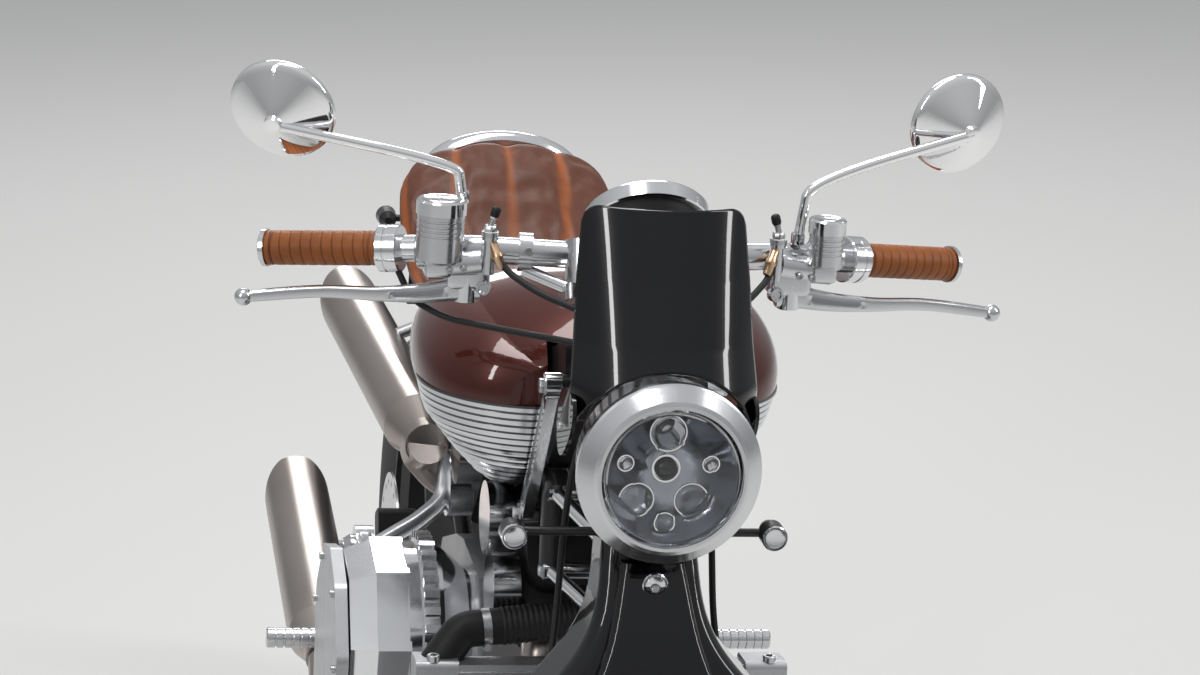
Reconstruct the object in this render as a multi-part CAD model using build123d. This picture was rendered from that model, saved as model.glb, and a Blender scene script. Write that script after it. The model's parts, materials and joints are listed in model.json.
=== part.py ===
from build123d import *
import math
import os

# Cafe racer motorcycle, in millimetres and degrees.
# It is modelled upright with the front axle over y 0, the nose towards -y, the rider's left
# towards +x and the ground at z 0. The last step leans it onto its side stand.

# Chassis
WHEELBASE = 1540
LEAN = 4
RAKE = 24.5
TRAIL = 95
RUNNING_GAP = 5

# Wheels
FRONT_RADIUS = 313
FRONT_TYRE_WIDTH = 120
REAR_RADIUS = 325
REAR_TYRE_WIDTH = 160
RIM_RADIUS = 229
RIM_WALL = 9
SPOKES = 10
HUB_RADIUS = 38
AXLE_RADIUS = 12.5
BEARING_GAP = 0.3
FRONT_HUB_WIDTH = 70
REAR_HUB_WIDTH = 120
FRONT_DISC_RADIUS = 115
REAR_DISC_RADIUS = 110
DISC_THICKNESS = 4
FRONT_DISC_PLACES = (44, 60)
REAR_DISC_PLACE = 96
SPROCKET_RADIUS = 95
CHAIN_PLACE = 98
CHAIN_WIDTH = 18
CHAIN_HEIGHT = 15
AXLE_BORE_RADIUS = 8

# Fork and steering
LEG_PLACE = 92
AXLE_BOSS_RADIUS = 30
NECK_TOP = 800
STEM_RADIUS = 17
HEADSTOCK_BOTTOM = 850
HEADSTOCK_TOP = 975
HEADSTOCK_RADIUS = 34
YOKE_HEIGHT = 1002

# Headlight, cowl and instrument
LAMP_Y = 115
LAMP_Z = 887
BEZEL_RADIUS = 92
LENS_RADIUS = 70
SHELL_DEPTH = 140
COWL_WALL = 4
INSTRUMENT_Y = 322
INSTRUMENT_Z = 1100
INSTRUMENT_RADIUS = 67

# Handlebar and controls
BAR_RADIUS = 14.3
GRIP_RADIUS = 18.5
GRIP_LENGTH = 122
BAR_END = (370, 484, 1017)
BAR_KNEE = (165, 397, 1042)
BAR_CENTRE = (62, 388, 1040)
MIRROR_RADIUS = 56
HOSE_RADIUS = 3.5

# Tank, seat and tail
TANK_FRONT = 412
TANK_WIDEST = 535
TANK_REAR = 850
TANK_HALF_WIDTH = 200
TANK_SPLIT = 868
TANK_TOP = 990
TUNNEL_HALF_WIDTH = 76
TUNNEL_TOP = 935
LOBE_BOTTOM = 755
RIB_PITCH = 8
RIB_DEPTH = 3
SEAT_HEIGHT = 820
HUMP_TOP = 972
PLATE_PLACE = (0, 1522, 752)
PLATE_TILT = 14
PLATE_HOLE_RADIUS = 3.3
PLATE_HOLE_SPACING = 110

# Engine
CRANK_Y = 690
CRANK_Z = 500
CYLINDER_LEAN = 44
CASE_HALF_WIDTH = 105
CLUTCH_RADIUS = 122
CLUTCH_FACETS = 8
TOOTH_RING_RADIUS = 130
CLUTCH_TEETH = 40
CLUTCH_OUTER_PLACE = 251
COVER_GROOVES = 4
PIVOT_Y = 930
PIVOT_Z = 400
SPROCKET_Y = 850
SPROCKET_Z = 420

# Exhaust
UPPER_SILENCER = ((-139, 872, 685), (-198, 1350, 750))
LOWER_SILENCER = ((-236, 985, 369), (-244, 1450, 449))
UPPER_SILENCER_RADIUS = 40
LOWER_SILENCER_RADIUS = 44
HEADER_RADIUS = 24

# Footrests and stand
PEG_RADIUS = 12.5
PEG_RINGS = 8
PEG_INNER = 236
PEG_LENGTH = 82
PEG_Y = 930
PEG_Z = 416
STAND_PIVOT = (118, 800, 262)
STAND_FOOT = (246, 772)
STAND_RADIUS = 12
STAND_EYE_RADIUS = 22
STAND_PIN_RADIUS = 7
STAND_TILT = 20
SOLE_DROP = -0.17
BOBBIN = (150, 1462, 338)
BOBBIN_HOLE_RADIUS = 4.1

# Ball joints of the front suspension
# columns: height of the joint, y and z of the frame pivots
WISHBONE_ROWS = ((745, 400, 778), (672, 400, 690))
EYE_RADIUS = 16
EYE_HALF_HEIGHT = 10
PIN_RADIUS = 7

STAND_AXIS = (math.cos(math.radians(STAND_TILT)), 0, math.sin(math.radians(STAND_TILT)))
STEER_DIRECTION = (0, math.sin(math.radians(RAKE)), math.cos(math.radians(RAKE)))


def steer_y(z):
    """The place along y of the steering axis at height z."""
    return math.tan(math.radians(RAKE)) * z - TRAIL


def on_steer_axis(z):
    """The point of the steering axis at height z."""
    return (0, steer_y(z), z)


def plane_along(start, towards):
    """Plane at start whose normal points at towards."""
    return Plane(origin=start, z_dir=Vector(towards) - Vector(start))


def rod(start, end, radius):
    """Round bar from one point to another."""
    length = (Vector(end) - Vector(start)).length
    return extrude(plane_along(start, end) * Circle(radius), amount=length)


def sleeve(start, end, outer, inner):
    """Round tube from one point to another."""
    length = (Vector(end) - Vector(start)).length
    return extrude(plane_along(start, end) * (Circle(outer) - Circle(inner)), amount=length)


def turned(rows, start, towards, bore=0):
    """Solid of revolution from start towards a point. A row is (distance along, radius)."""
    outline = [(bore, rows[0][0])] + [(radius, along) for along, radius in rows]
    outline += [(bore, rows[-1][0])]
    face = Plane.XZ * make_face(Polyline(*outline, close=True))
    return plane_along(start, towards) * revolve(face, Axis.Z)


def pipe(points, radius, bend, bore=0):
    """Round bar or tube along straight runs joined by tangent arcs."""
    path = FilletPolyline(*points, radius=bend)
    ring = Circle(radius) - Circle(bore) if bore else Circle(radius)
    return sweep(Plane(origin=path @ 0, z_dir=path % 0) * ring, path=path)


def hose(points, radius):
    """Round hose whose arcs are as large as its runs allow."""
    bends = []
    for before, at, after in zip(points, points[1:], points[2:]):
        come, go = Vector(at) - Vector(before), Vector(after) - Vector(at)
        half_turn = math.radians(come.get_angle(go) / 2)
        bends.append(0.45 * min(come.length, go.length) / math.tan(half_turn))
    path = FilletPolyline(*points, radius=bends)
    return sweep(Plane(origin=path @ 0, z_dir=path % 0) * Circle(radius), path=path)


def block(low, high, rounding=0):
    """Box between two opposite corners, its edges along z rounded."""
    size = [high[i] - low[i] for i in range(3)]
    middle = [(high[i] + low[i]) / 2 for i in range(3)]
    solid = Pos(*middle) * Box(*size)
    return fillet(solid.edges().filter_by(Axis.Z), rounding) if rounding else solid


def side_plate(points, x0, x1, rounding=0):
    """Flat plate between x0 and x1 with an outline of (y, z) points."""
    face = Plane.YZ.offset(x0) * make_face(Polyline(*points, close=True))
    plate = extrude(face, amount=x1 - x0)
    return fillet(plate.edges().filter_by(Axis.X), rounding) if rounding else plate


def both_sides(solid):
    """The solid and its mirror image across the middle plane."""
    return solid, mirror(solid, about=Plane.YZ)


def wheel_ring(profile, axle):
    """Ring about an axle along x. The profile is a face with x across and y as the radius."""
    return Pos(*axle) * revolve(profile, Axis.X)


FRONT_AXLE = (0, 0, FRONT_RADIUS)
REAR_AXLE = (0, WHEELBASE, REAR_RADIUS)


def tyre(radius, width, axle):
    """Road tyre: bead seat on the rim, bulging side walls and one arc of tread."""
    half = width / 2
    seat = half - 14
    shoulder = radius - 0.42 * half
    outline = [
        Line((-seat, RIM_RADIUS), (seat, RIM_RADIUS)),
        ThreePointArc((seat, RIM_RADIUS), (half - 3, RIM_RADIUS + 28), (half, shoulder)),
        ThreePointArc((half, shoulder), (0, radius), (-half, shoulder)),
        ThreePointArc((-half, shoulder), (3 - half, RIM_RADIUS + 28), (-seat, RIM_RADIUS)),
    ]
    return wheel_ring(make_face(outline), axle)


def rim(width, hub_width, axle):
    """Cast wheel: flanged barrel, straight tapered spokes and a bored hub."""
    half = width / 2 - 14
    inner = RIM_RADIUS - RIM_WALL
    barrel = wheel_ring(make_face(Polyline(
        (-half, RIM_RADIUS), (-half, inner - 4), (8 - half, inner - 4), (20 - half, inner - 14),
        (half - 20, inner - 14), (half - 8, inner - 4), (half, inner - 4), (half, RIM_RADIUS),
        close=True)), axle)
    hub = Pos(*axle) * (Rot(0, 90, 0) * Cylinder(HUB_RADIUS, hub_width))
    wheel = barrel + hub
    spoke_length = inner - 10 - (HUB_RADIUS - 4)
    root = Rectangle(30, 30)
    tip = Pos(0, 0, spoke_length) * Rectangle(24, 14)
    spoke = loft([root, tip])
    for number in range(SPOKES):
        turn = Rot(number * 360 / SPOKES, 0, 0)
        wheel += Pos(*axle) * (turn * (Pos(0, 0, HUB_RADIUS - 4) * spoke))
    return wheel - Pos(*axle) * (Rot(0, 90, 0) * Cylinder(AXLE_RADIUS + BEARING_GAP, 2 * hub_width))


def disc(x, radius, hub, axle):
    """Brake disc with a ring of round holes, standing on a carrier of hub radius."""
    plate = Cylinder(radius, DISC_THICKNESS) - Cylinder(hub, 2 * DISC_THICKNESS)
    holes = 18
    for number in range(holes):
        turn = Rot(0, 0, number * 360 / holes)
        plate -= turn * Pos(radius - 14, 0, 0) * Cylinder(4, 2 * DISC_THICKNESS)
    return Pos(axle[0] + x, axle[1], axle[2]) * (Rot(0, 90, 0) * plate)


def front_wheel():
    """Tyre, rim and the two pairs of small discs on their carriers."""
    discs = []
    near, far = FRONT_DISC_PLACES
    carrier_radius = 62
    for side in (-1, 1):
        start = (side * FRONT_HUB_WIDTH / 2, 0, FRONT_RADIUS)
        end = (side * (far + DISC_THICKNESS / 2), 0, FRONT_RADIUS)
        pair = sleeve(start, end, carrier_radius, AXLE_RADIUS + 6)
        for place in FRONT_DISC_PLACES:
            pair += disc(side * place, FRONT_DISC_RADIUS, carrier_radius - 4, FRONT_AXLE)
        discs.append(pair)
    return {
        "front_tyre": tyre(FRONT_RADIUS, FRONT_TYRE_WIDTH, FRONT_AXLE),
        "front_rim": rim(FRONT_TYRE_WIDTH, FRONT_HUB_WIDTH, FRONT_AXLE),
        "front_discs": discs,
    }


def rear_wheel():
    """Tyre, rim, disc on the right and sprocket on the left."""
    half = REAR_HUB_WIDTH / 2
    right = (-half, WHEELBASE, REAR_RADIUS)
    right_end = (-REAR_DISC_PLACE - DISC_THICKNESS / 2, WHEELBASE, REAR_RADIUS)
    rear_disc = sleeve(right, right_end, 58, AXLE_RADIUS + 6)
    rear_disc += disc(-REAR_DISC_PLACE, REAR_DISC_RADIUS, 54, REAR_AXLE)
    left = (half, WHEELBASE, REAR_RADIUS)
    left_end = (CHAIN_PLACE + 3, WHEELBASE, REAR_RADIUS)
    sprocket = sleeve(left, left_end, 55, AXLE_RADIUS + 6)
    teeth = 40
    plate = Cylinder(SPROCKET_RADIUS, 6) - Cylinder(50, 12)
    for number in range(5):
        plate -= Rot(0, 0, number * 72) * Pos(72, 0, 0) * Cylinder(12, 12)
    notch = Cylinder(2.6, 12)
    for number in range(teeth):
        plate -= Rot(0, 0, number * 360 / teeth) * Pos(SPROCKET_RADIUS, 0, 0) * notch
    sprocket += Pos(CHAIN_PLACE, WHEELBASE, REAR_RADIUS) * (Rot(0, 90, 0) * plate)
    return {
        "rear_tyre": tyre(REAR_RADIUS, REAR_TYRE_WIDTH, REAR_AXLE),
        "rear_rim": rim(REAR_TYRE_WIDTH, REAR_HUB_WIDTH, REAR_AXLE),
        "rear_disc": rear_disc,
        "rear_sprocket": sprocket,
    }


def rounded_section(x, y, z, width, depth, corner):
    """Level rounded rectangle for a loft."""
    return Pos(x, y, z) * RectangleRounded(width, depth, corner)


def fork():
    """Cast girder fork: two legs beside the wheel that meet in a bell-shaped neck."""
    # columns: height, outward place of the leg, width across, depth along the bike
    leg_rows = [(300, LEG_PLACE, 26, 56), (450, LEG_PLACE + 3, 26, 62), (560, LEG_PLACE + 5, 30, 74),
                (650, LEG_PLACE + 2, 44, 86)]
    ahead = steer_y(FRONT_RADIUS)
    leg = loft([rounded_section(x, steer_y(z) - ahead, z, w, d, 10) for z, x, w, d in leg_rows])
    boss_in, boss_out = LEG_PLACE - 15, LEG_PLACE + 15
    leg += rod((boss_in, 0, FRONT_RADIUS), (boss_out, 0, FRONT_RADIUS), AXLE_BOSS_RADIUS)
    leg -= rod((boss_in - 9, 0, FRONT_RADIUS), (boss_out + 9, 0, FRONT_RADIUS), AXLE_RADIUS)
    # columns: height, half width, depth along the bike
    bell_rows = [(646, 119, 88), (675, 92, 88), (705, 68, 84), (738, 55, 80), (NECK_TOP, 46, 70)]
    bell = loft([rounded_section(0, steer_y(z) - ahead, z, 2 * w, d, 16) for z, w, d in bell_rows])
    # columns: height, half width of the raised crest, how far it stands ahead of the bell
    crest_rows = [(646, 82, 12), (690, 54, 12), (738, 40, 10), (780, 32, 6)]
    crest = loft([rounded_section(0, steer_y(z) - ahead - 36 - out / 2, z, 2 * w, 20 + out, 9)
                  for z, w, out in crest_rows])
    upright = bell + crest
    for z, _, _ in WISHBONE_ROWS:
        lug = EYE_HALF_HEIGHT + RUNNING_GAP
        upright -= rod(on_steer_axis(z - lug), on_steer_axis(z + lug), EYE_RADIUS + RUNNING_GAP)
        upright += rod(on_steer_axis(z - lug), on_steer_axis(z + lug + 12), PIN_RADIUS)
        upright += rod(on_steer_axis(z + lug), on_steer_axis(z + lug + 12), 14)
        ledge = Plane(origin=on_steer_axis(z + lug), x_dir=(1, 0, 0), z_dir=STEER_DIRECTION)
        upright += ledge * (Pos(0, -15, 6) * Box(28, 34, 12))
    for side in both_sides(leg):
        upright += side
    wheel_room = Pos(*FRONT_AXLE) * (Rot(0, 90, 0) * Cylinder(FRONT_RADIUS + 16, 2 * (LEG_PLACE - 22)))
    return upright - wheel_room


def front_mudguard():
    """Arched guard over the front tyre on two stays that meet the fork legs."""
    inner = FRONT_RADIUS + 9
    half = 66
    drop = 20
    profile = make_face([
        Line((-half, inner - drop), (-half + 3, inner - drop)),
        ThreePointArc((-half + 3, inner - drop), (0, inner), (half - 3, inner - drop)),
        Line((half - 3, inner - drop), (half, inner - drop)),
        ThreePointArc((half, inner - drop), (0, inner + 3.5), (-half, inner - drop)),
    ])
    sweep_angle = 120
    guard = Pos(*FRONT_AXLE) * (Rot(40, 0, 0) * revolve(profile, Axis.X, sweep_angle))
    for side in (-1, 1):
        x = side * (half - 1)
        foot = (side * (LEG_PLACE - 12), steer_y(480) - steer_y(FRONT_RADIUS), 480)
        for y, z in ((-150, 560), (215, 530)):
            guard += rod(foot, (x, y, z), 4)
    return guard


def front_axle():
    """Axle through the fork ends with a domed nut at each side."""
    end = LEG_PLACE + 15
    axle = rod((-end, 0, FRONT_RADIUS), (end, 0, FRONT_RADIUS), AXLE_RADIUS - BEARING_GAP)
    for side in (-1, 1):
        axle += turned([(0, 19), (8, 19), (12, 14)], (side * end, 0, FRONT_RADIUS),
                       (side * (end + 20), 0, FRONT_RADIUS))
    return axle - rod((-end - 20, 0, FRONT_RADIUS), (end + 20, 0, FRONT_RADIUS), AXLE_BORE_RADIUS)


def caliper(x0, x1, discs):
    """Brake caliper body from x0 to x1, about the x axis, with a slot for each disc it clears."""
    body = Pos((x0 + x1) / 2, 0, 0) * Box(x1 - x0, 70, 44)
    body = fillet(body.edges().filter_by(Axis.X), 10)
    for place in discs:
        slot = DISC_THICKNESS + 2 * RUNNING_GAP
        body -= Pos(place, 0, -10) * Box(slot, 90, 44)
    return body


def front_calipers():
    """One caliper a side behind its leg, each over that side's two discs."""
    near, far = FRONT_DISC_PLACES
    body = caliper(near - 10, far + 22, (near, far))
    out = FRONT_DISC_RADIUS - 6
    angle = 20
    y = out * math.cos(math.radians(angle))
    z = FRONT_RADIUS + out * math.sin(math.radians(angle))
    body = Pos(0, y, z) * (Rot(angle - 90, 0, 0) * body)
    arm = side_plate([(20, 330), (y + 18, z - 26), (y + 22, z + 10), (60, 420)],
                     far + 18, far + 28, 5)
    return list(both_sides(body + arm))


def steering_stem():
    """Stem through the headstock, the yoke on top and the link down to the fork neck."""
    low, high = on_steer_axis(NECK_TOP - 15), on_steer_axis(YOKE_HEIGHT + 8)
    stem = rod(low, high, STEM_RADIUS)
    stem += rod(low, on_steer_axis(HEADSTOCK_BOTTOM - 6), STEM_RADIUS + 12)
    yoke_y = steer_y(YOKE_HEIGHT)
    yoke = Pos(0, yoke_y + 4, YOKE_HEIGHT) * (Rot(-RAKE, 0, 0) * Box(150, 62, 16))
    stem += fillet(yoke.edges().filter_by(GeomType.LINE).sort_by(Edge.length)[:4], 7)
    for side in (-1, 1):
        base = (side * 52, yoke_y + 6, YOKE_HEIGHT)
        stem += rod(base, (side * 52, BAR_CENTRE[1], BAR_CENTRE[2] + 16), 19)
        ring = Vector(side * 112, 392.2, 1041)
        stem += rod(ring - Vector(side * 7, 0.6, 0.2), ring + Vector(side * 7, 0.6, 0.2), BAR_RADIUS + 6)
        stem += rod((side * 112, 391, 1022), (side * 60, yoke_y + 4, YOKE_HEIGHT + 4), 7)
        stem += rod((side * 40, 288, 970), (side * 40, 342, 1010), 6)
    stem += block((-48, 280, 955), (48, 299, 979), 4)
    return stem - handlebar_bar(BAR_RADIUS)


def handlebar_bar(radius):
    """The bent bar alone at a given radius, from grip end to grip end."""
    x, y, z = BAR_END
    kx, ky, kz = BAR_KNEE
    cx, cy, cz = BAR_CENTRE
    points = [(-x, y, z), (-kx, ky, kz), (-cx, cy, cz), (cx, cy, cz), (kx, ky, kz), (x, y, z)]
    return pipe(points, radius, 55)


def bar_frame(side):
    """Direction of the bar's outer run on one side, pointing outwards, and its outer end."""
    end = Vector(side * BAR_END[0], BAR_END[1], BAR_END[2])
    knee = Vector(side * BAR_KNEE[0], BAR_KNEE[1], BAR_KNEE[2])
    return (end - knee).normalized(), end


def grips():
    """Grip sleeves on the bar ends, each with a flanged end cap."""
    sleeves = []
    for side in (-1, 1):
        out, end = bar_frame(side)
        inner = end - out * GRIP_LENGTH
        sleeves.append(sleeve(inner, end, GRIP_RADIUS, BAR_RADIUS))
    return sleeves


def bar_ends():
    """Thin flange and plug on each bar end."""
    caps = []
    for side in (-1, 1):
        out, end = bar_frame(side)
        caps.append(turned([(0.2, GRIP_RADIUS + 1.5), (5, GRIP_RADIUS + 1.5), (7, GRIP_RADIUS - 2)],
                           end, end + out * 10))
    return caps


def hand_controls():
    """Control housing ring, master cylinder and round reservoir on each side."""
    sets = []
    # columns: side, reservoir radius, reservoir height, reservoir place, master's low end
    for side, radius, height, place in ((-1, 26, 66, (203, 380, 1032)), (1, 20, 52, (205, 380, 1036))):
        out, end = bar_frame(side)
        inner = end - out * (GRIP_LENGTH + 0.5)
        ring = sleeve(inner - out * 24, inner, 25, BAR_RADIUS)
        x, y, z = side * place[0], place[1], place[2]
        cup = turned([(0, radius - 3), (3, radius), (height - 3, radius), (height, radius - 3)],
                     (x, y, z), (x, y, z + 10))
        body = rod((x + side * 10, y + 12, z - 8), (side * 158, y + 8, z - 2), 15)
        clamp = sleeve(end - out * (GRIP_LENGTH + 62), end - out * (GRIP_LENGTH + 44), 22, BAR_RADIUS)
        web = block((min(x - 14, x + 14), y - 4, z - 16), (max(x - 14, x + 14), y + 34, z + 8), 4)
        banjo = rod((side * 152, 374, 1022), (side * 152, 374, 1062), 6)
        perch = block((min(side * 152, side * 190), 380, 1001), (max(side * 152, side * 190), 412, 1034), 5)
        sets.append(ring + cup + body + clamp + web + banjo + perch - handlebar_bar(BAR_RADIUS))
    return sets


def levers():
    """Curved hand levers ahead of the grips with ball ends."""
    blades = []
    for side in (-1, 1):
        points = [(side * 172, 392, 998), (side * 240, 386, 992), (side * 300, 396, 994),
                  (side * 396, 404, 984)]
        blade = pipe(points, 8, 60)
        blade += Pos(side * 400, 404, 983.5) * Sphere(9.5)
        blade += rod((side * 172, 392, 988), (side * 172, 392, 1001), 13)
        blades.append(blade)
    return blades


MIRRORS = (
    # columns: stem foot, bend, middle of the head's back, direction of the glass
    ((-180, 396, 1095), (-186, 397, 1130), (-372, 404, 1178), (-0.25, 0.95, -0.18)),
    ((178, 396, 1060), (186, 397, 1122), (366, 425, 1178), (0.25, 0.95, -0.12)),
)


def mirrors():
    """Round mirror heads with coned backs on bent stems."""
    heads, glasses = [], []
    for foot, bend, apex, facing in MIRRORS:
        facing = Vector(*facing).normalized()
        stem = pipe([foot, bend, apex], 5.5, 22)
        apex = Vector(*apex)
        head = turned([(-4, 9), (4, 12), (26, MIRROR_RADIUS - 2), (34, MIRROR_RADIUS),
                       (36, MIRROR_RADIUS)], apex, apex + facing)
        heads.append(stem + head)
        glass = apex + facing * 36.1
        glasses.append(rod(glass, glass + facing * 2, MIRROR_RADIUS - 4))
    return heads, glasses


def headlight():
    """Bowl, bezel, lens and reflector of the round headlight, all on one level axis."""
    front = (0, LAMP_Y, LAMP_Z)
    back = (0, LAMP_Y + 10, LAMP_Z)
    depth = SHELL_DEPTH
    bowl = turned([(12, BEZEL_RADIUS - 3), (60, BEZEL_RADIUS - 8), (105, BEZEL_RADIUS - 26),
                   (depth, BEZEL_RADIUS - 58)], front, back)
    skin = bowl - turned([(11, BEZEL_RADIUS - 3 - RIB_DEPTH), (60, BEZEL_RADIUS - 8 - RIB_DEPTH),
                          (105, BEZEL_RADIUS - 26 - RIB_DEPTH), (depth + 1, BEZEL_RADIUS - 58 - RIB_DEPTH)],
                         front, back)
    slots = [Pos(0, LAMP_Y + 80, LAMP_Z + RIB_PITCH * row) * Box(240, 240, RIB_PITCH / 2.5)
             for row in range(-9, 5)]
    bowl -= skin & slots
    bowl -= turned([(0, BEZEL_RADIUS - 10), (60, BEZEL_RADIUS - 15), (100, BEZEL_RADIUS - 33),
                    (depth - 6, BEZEL_RADIUS - 66)], front, back)
    bezel = turned([(-14, LENS_RADIUS + 4), (-12, LENS_RADIUS + 8), (2, BEZEL_RADIUS - 2),
                    (4, BEZEL_RADIUS), (11.8, BEZEL_RADIUS)], front, back, LENS_RADIUS + 0.5)
    lens = turned([(-18, 40), (-13, LENS_RADIUS - 4), (-9, LENS_RADIUS), (-6, LENS_RADIUS)],
                  front, back)
    lens -= turned([(-15, 36), (-11, LENS_RADIUS - 6), (-5, LENS_RADIUS - 4)], front, back)
    reflector = turned([(0, LENS_RADIUS), (6, LENS_RADIUS), (50, 44), (56, 30)], front, back)
    reflector -= turned([(-1, LENS_RADIUS - 3), (6, LENS_RADIUS - 3), (48, 40)], front, back)
    for angle in (90, 210, 330):
        x = 34 * math.cos(math.radians(angle))
        z = LAMP_Z + 34 * math.sin(math.radians(angle))
        reflector += turned([(14, 13), (18, 17), (50, 17)], (x, LAMP_Y, z), (x, LAMP_Y + 10, z))
    reflector += turned([(8, 9), (12, 14), (52, 14)], front, back)
    for side in (-1, 1):
        bowl += rod((side * 20, LAMP_Y + SHELL_DEPTH - 8, LAMP_Z - 20), (side * 20, steer_y(812) - 20, 812), 7)
    return bowl, bezel, lens, reflector


def cowl():
    """Gloss flyscreen: a bent shell that narrows upwards and straddles the headlight."""
    # columns: height, half width, foremost y, rear edge y
    rows = [(915, 97, 112, 196), (985, 93, 140, 215), (1050, 87, 190, 258), (1117, 78, 245, 298)]

    def section(z, half, nose, edge, wall, tail):
        """Level outline: an arc round the nose and a straight tail behind its edges."""
        half, nose = half - wall, nose + wall
        return Pos(0, 0, z) * make_face([
            ThreePointArc((-half, edge), (0, nose), (half, edge)),
            Line((half, edge), (half, edge + tail)),
            Line((half, edge + tail), (-half, edge + tail)),
            Line((-half, edge + tail), (-half, edge)),
        ])

    outer = loft([section(*row, 0, 1) for row in rows])
    inner_rows = [(rows[0][0] - 4, *rows[0][1:])] + rows[1:-1] + [(rows[-1][0] + 4, *rows[-1][1:])]
    shell = outer - loft([section(*row, COWL_WALL, 40) for row in inner_rows])
    lamp = rod((0, LAMP_Y - 60, LAMP_Z), (0, LAMP_Y + 160, LAMP_Z), BEZEL_RADIUS + 2)
    return shell - lamp


def instrument():
    """Round clock in a polished ring, facing up and back to the rider."""
    tilt = Vector(0, 0.30, 0.954)
    top = Vector(0, INSTRUMENT_Y, INSTRUMENT_Z)
    dial = turned([(-62, 30), (-52, 52), (-22, INSTRUMENT_RADIUS - 6), (-20, INSTRUMENT_RADIUS),
                   (0, INSTRUMENT_RADIUS), (2, INSTRUMENT_RADIUS - 3)], top, top + tilt)
    foot = top - tilt * 58
    dial += rod(foot, (0, steer_y(1030) - 26, 1024), 14)
    dial += block((-40, 322, 1008), (40, 352, 1026), 5)
    return dial


def front_signals():
    """Stalk bar under the headlight with a bullet lamp at each end and a small round light."""
    y, z = 230, 791
    bar = rod((-132, y, z), (132, y, z), 4.5)
    for side in (-1, 1):
        bar += turned([(-16, 11), (-14, 13.5), (4, 13.5), (18, 9), (22, 4)], (side * 134, y - 2, z),
                      (side * 134, y + 10, z))
    bar += rod((0, y, z), (0, 172, 764), 6)
    bar += turned([(0, 13), (24, 13)], (0, 152, 762), (0, 172, 764))
    return bar


HOSES = (
    # routes from the hand controls to the stem, then down behind the neck to each caliper
    ((-152, 374, 1056), (-138, 360, 1030), (-106, 334, 1012), (-64, 302, 1002), (-34, 292, 984),
     (-30, 290, 966)),
    ((152, 374, 1050), (142, 362, 1026), (112, 334, 1004), (68, 304, 992), (36, 292, 980), (30, 290, 964)),
    ((-240, 422, 1012), (-226, 408, 984), (-192, 384, 970), (-128, 346, 968), (-74, 308, 968),
     (-40, 290, 966)),
    ((-26, 290, 962), (-48, 272, 920), (-72, 258, 850), (-78, 252, 770), (-82, 236, 690), (-94, 202, 620),
     (-106, 164, 540), (-96, 128, 450), (-70, 112, 398), (-66, 106, 372)),
    ((26, 290, 962), (48, 272, 920), (72, 258, 850), (78, 252, 770), (82, 236, 690), (94, 202, 620),
     (106, 164, 540), (96, 128, 450), (70, 112, 398), (66, 106, 372)),
)


def control_hoses():
    """Brake, clutch and throttle lines, held by the controls, the stem and the calipers."""
    return [hose(route, HOSE_RADIUS) for route in HOSES]


def front_struts():
    """Polished I-section arms from the headstock lugs down to the front cylinder head."""
    top = Vector(85, 330, 915)
    low = Vector(82, 462, 734)
    along = (low - top).normalized()
    length = (low - top).length
    plane = Plane(origin=top, x_dir=(1, 0, 0), z_dir=along)
    bar = extrude(plane * Rectangle(12, 25), amount=length)
    for face in (-1, 1):
        groove = Pos(face * 5.5, 0, length / 2) * Box(5, 13, length - 48)
        bar -= plane * groove
    for end, inner in ((top, 9), (low, 12)):
        bar += rod((end.X - inner, end.Y, end.Z), (end.X + 8, end.Y, end.Z), 14)
    return list(both_sides(bar))


def wishbones():
    """Upper and lower wishbones, from the frame to an eye round each pin of the fork."""
    pieces = []
    for z, pivot_y, pivot_z in WISHBONE_ROWS:
        low, high = on_steer_axis(z - EYE_HALF_HEIGHT), on_steer_axis(z + EYE_HALF_HEIGHT)
        arm = rod(low, high, EYE_RADIUS)
        for side in (-1, 1):
            arm += rod((side * 6, steer_y(z) + 8, z), (side * 62, pivot_y, pivot_z), 8)
        arm += rod((-70, pivot_y, pivot_z), (70, pivot_y, pivot_z), 10)
        arm -= rod(on_steer_axis(z - 40), on_steer_axis(z + 40), PIN_RADIUS + BEARING_GAP)
        pieces.append(arm)
    return pieces


def frame():
    """Headstock, box spine, seat rails and their braces down to the crankcase."""
    low, high = on_steer_axis(HEADSTOCK_BOTTOM), on_steer_axis(HEADSTOCK_TOP)
    stock = rod(low, high, HEADSTOCK_RADIUS)
    half = TUNNEL_HALF_WIDTH - 6
    spine = side_plate([(330, 880), (350, 960), (430, TUNNEL_TOP - 6), (800, 880), (830, 800),
                        (430, 790)], -half, half, 12)
    body = stock + spine
    for side in (-1, 1):
        rail = [(side * 48, 790, 850), (side * 84, 930, 780), (side * 92, 1180, 800),
                (side * 70, 1390, 868)]
        body += pipe(rail, 13, 60)
        brace = [(side * 92, 1150, 797), (side * 90, 1040, 660), (side * 76, 925, 535)]
        body += pipe(brace, 11, 60)
        body += rod((side * 60, 420, 800), (side * 60, 405, 690), 14)
        body += rod((side * 60, 395, 778), (side * 60, 430, 800), 14)
    for y, z, width in ((1200, 802, 92), (1380, 865, 72)):
        body += rod((-width, y, z), (width, y, z), 10)
    body += rod((-84, 985, 775), (84, 985, 775), 10)
    body += rod((-76, 330, 915), (76, 330, 915), 12)
    return body - rod(on_steer_axis(HEADSTOCK_BOTTOM - 2), on_steer_axis(HEADSTOCK_TOP + 2),
                      STEM_RADIUS + BEARING_GAP)


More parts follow.
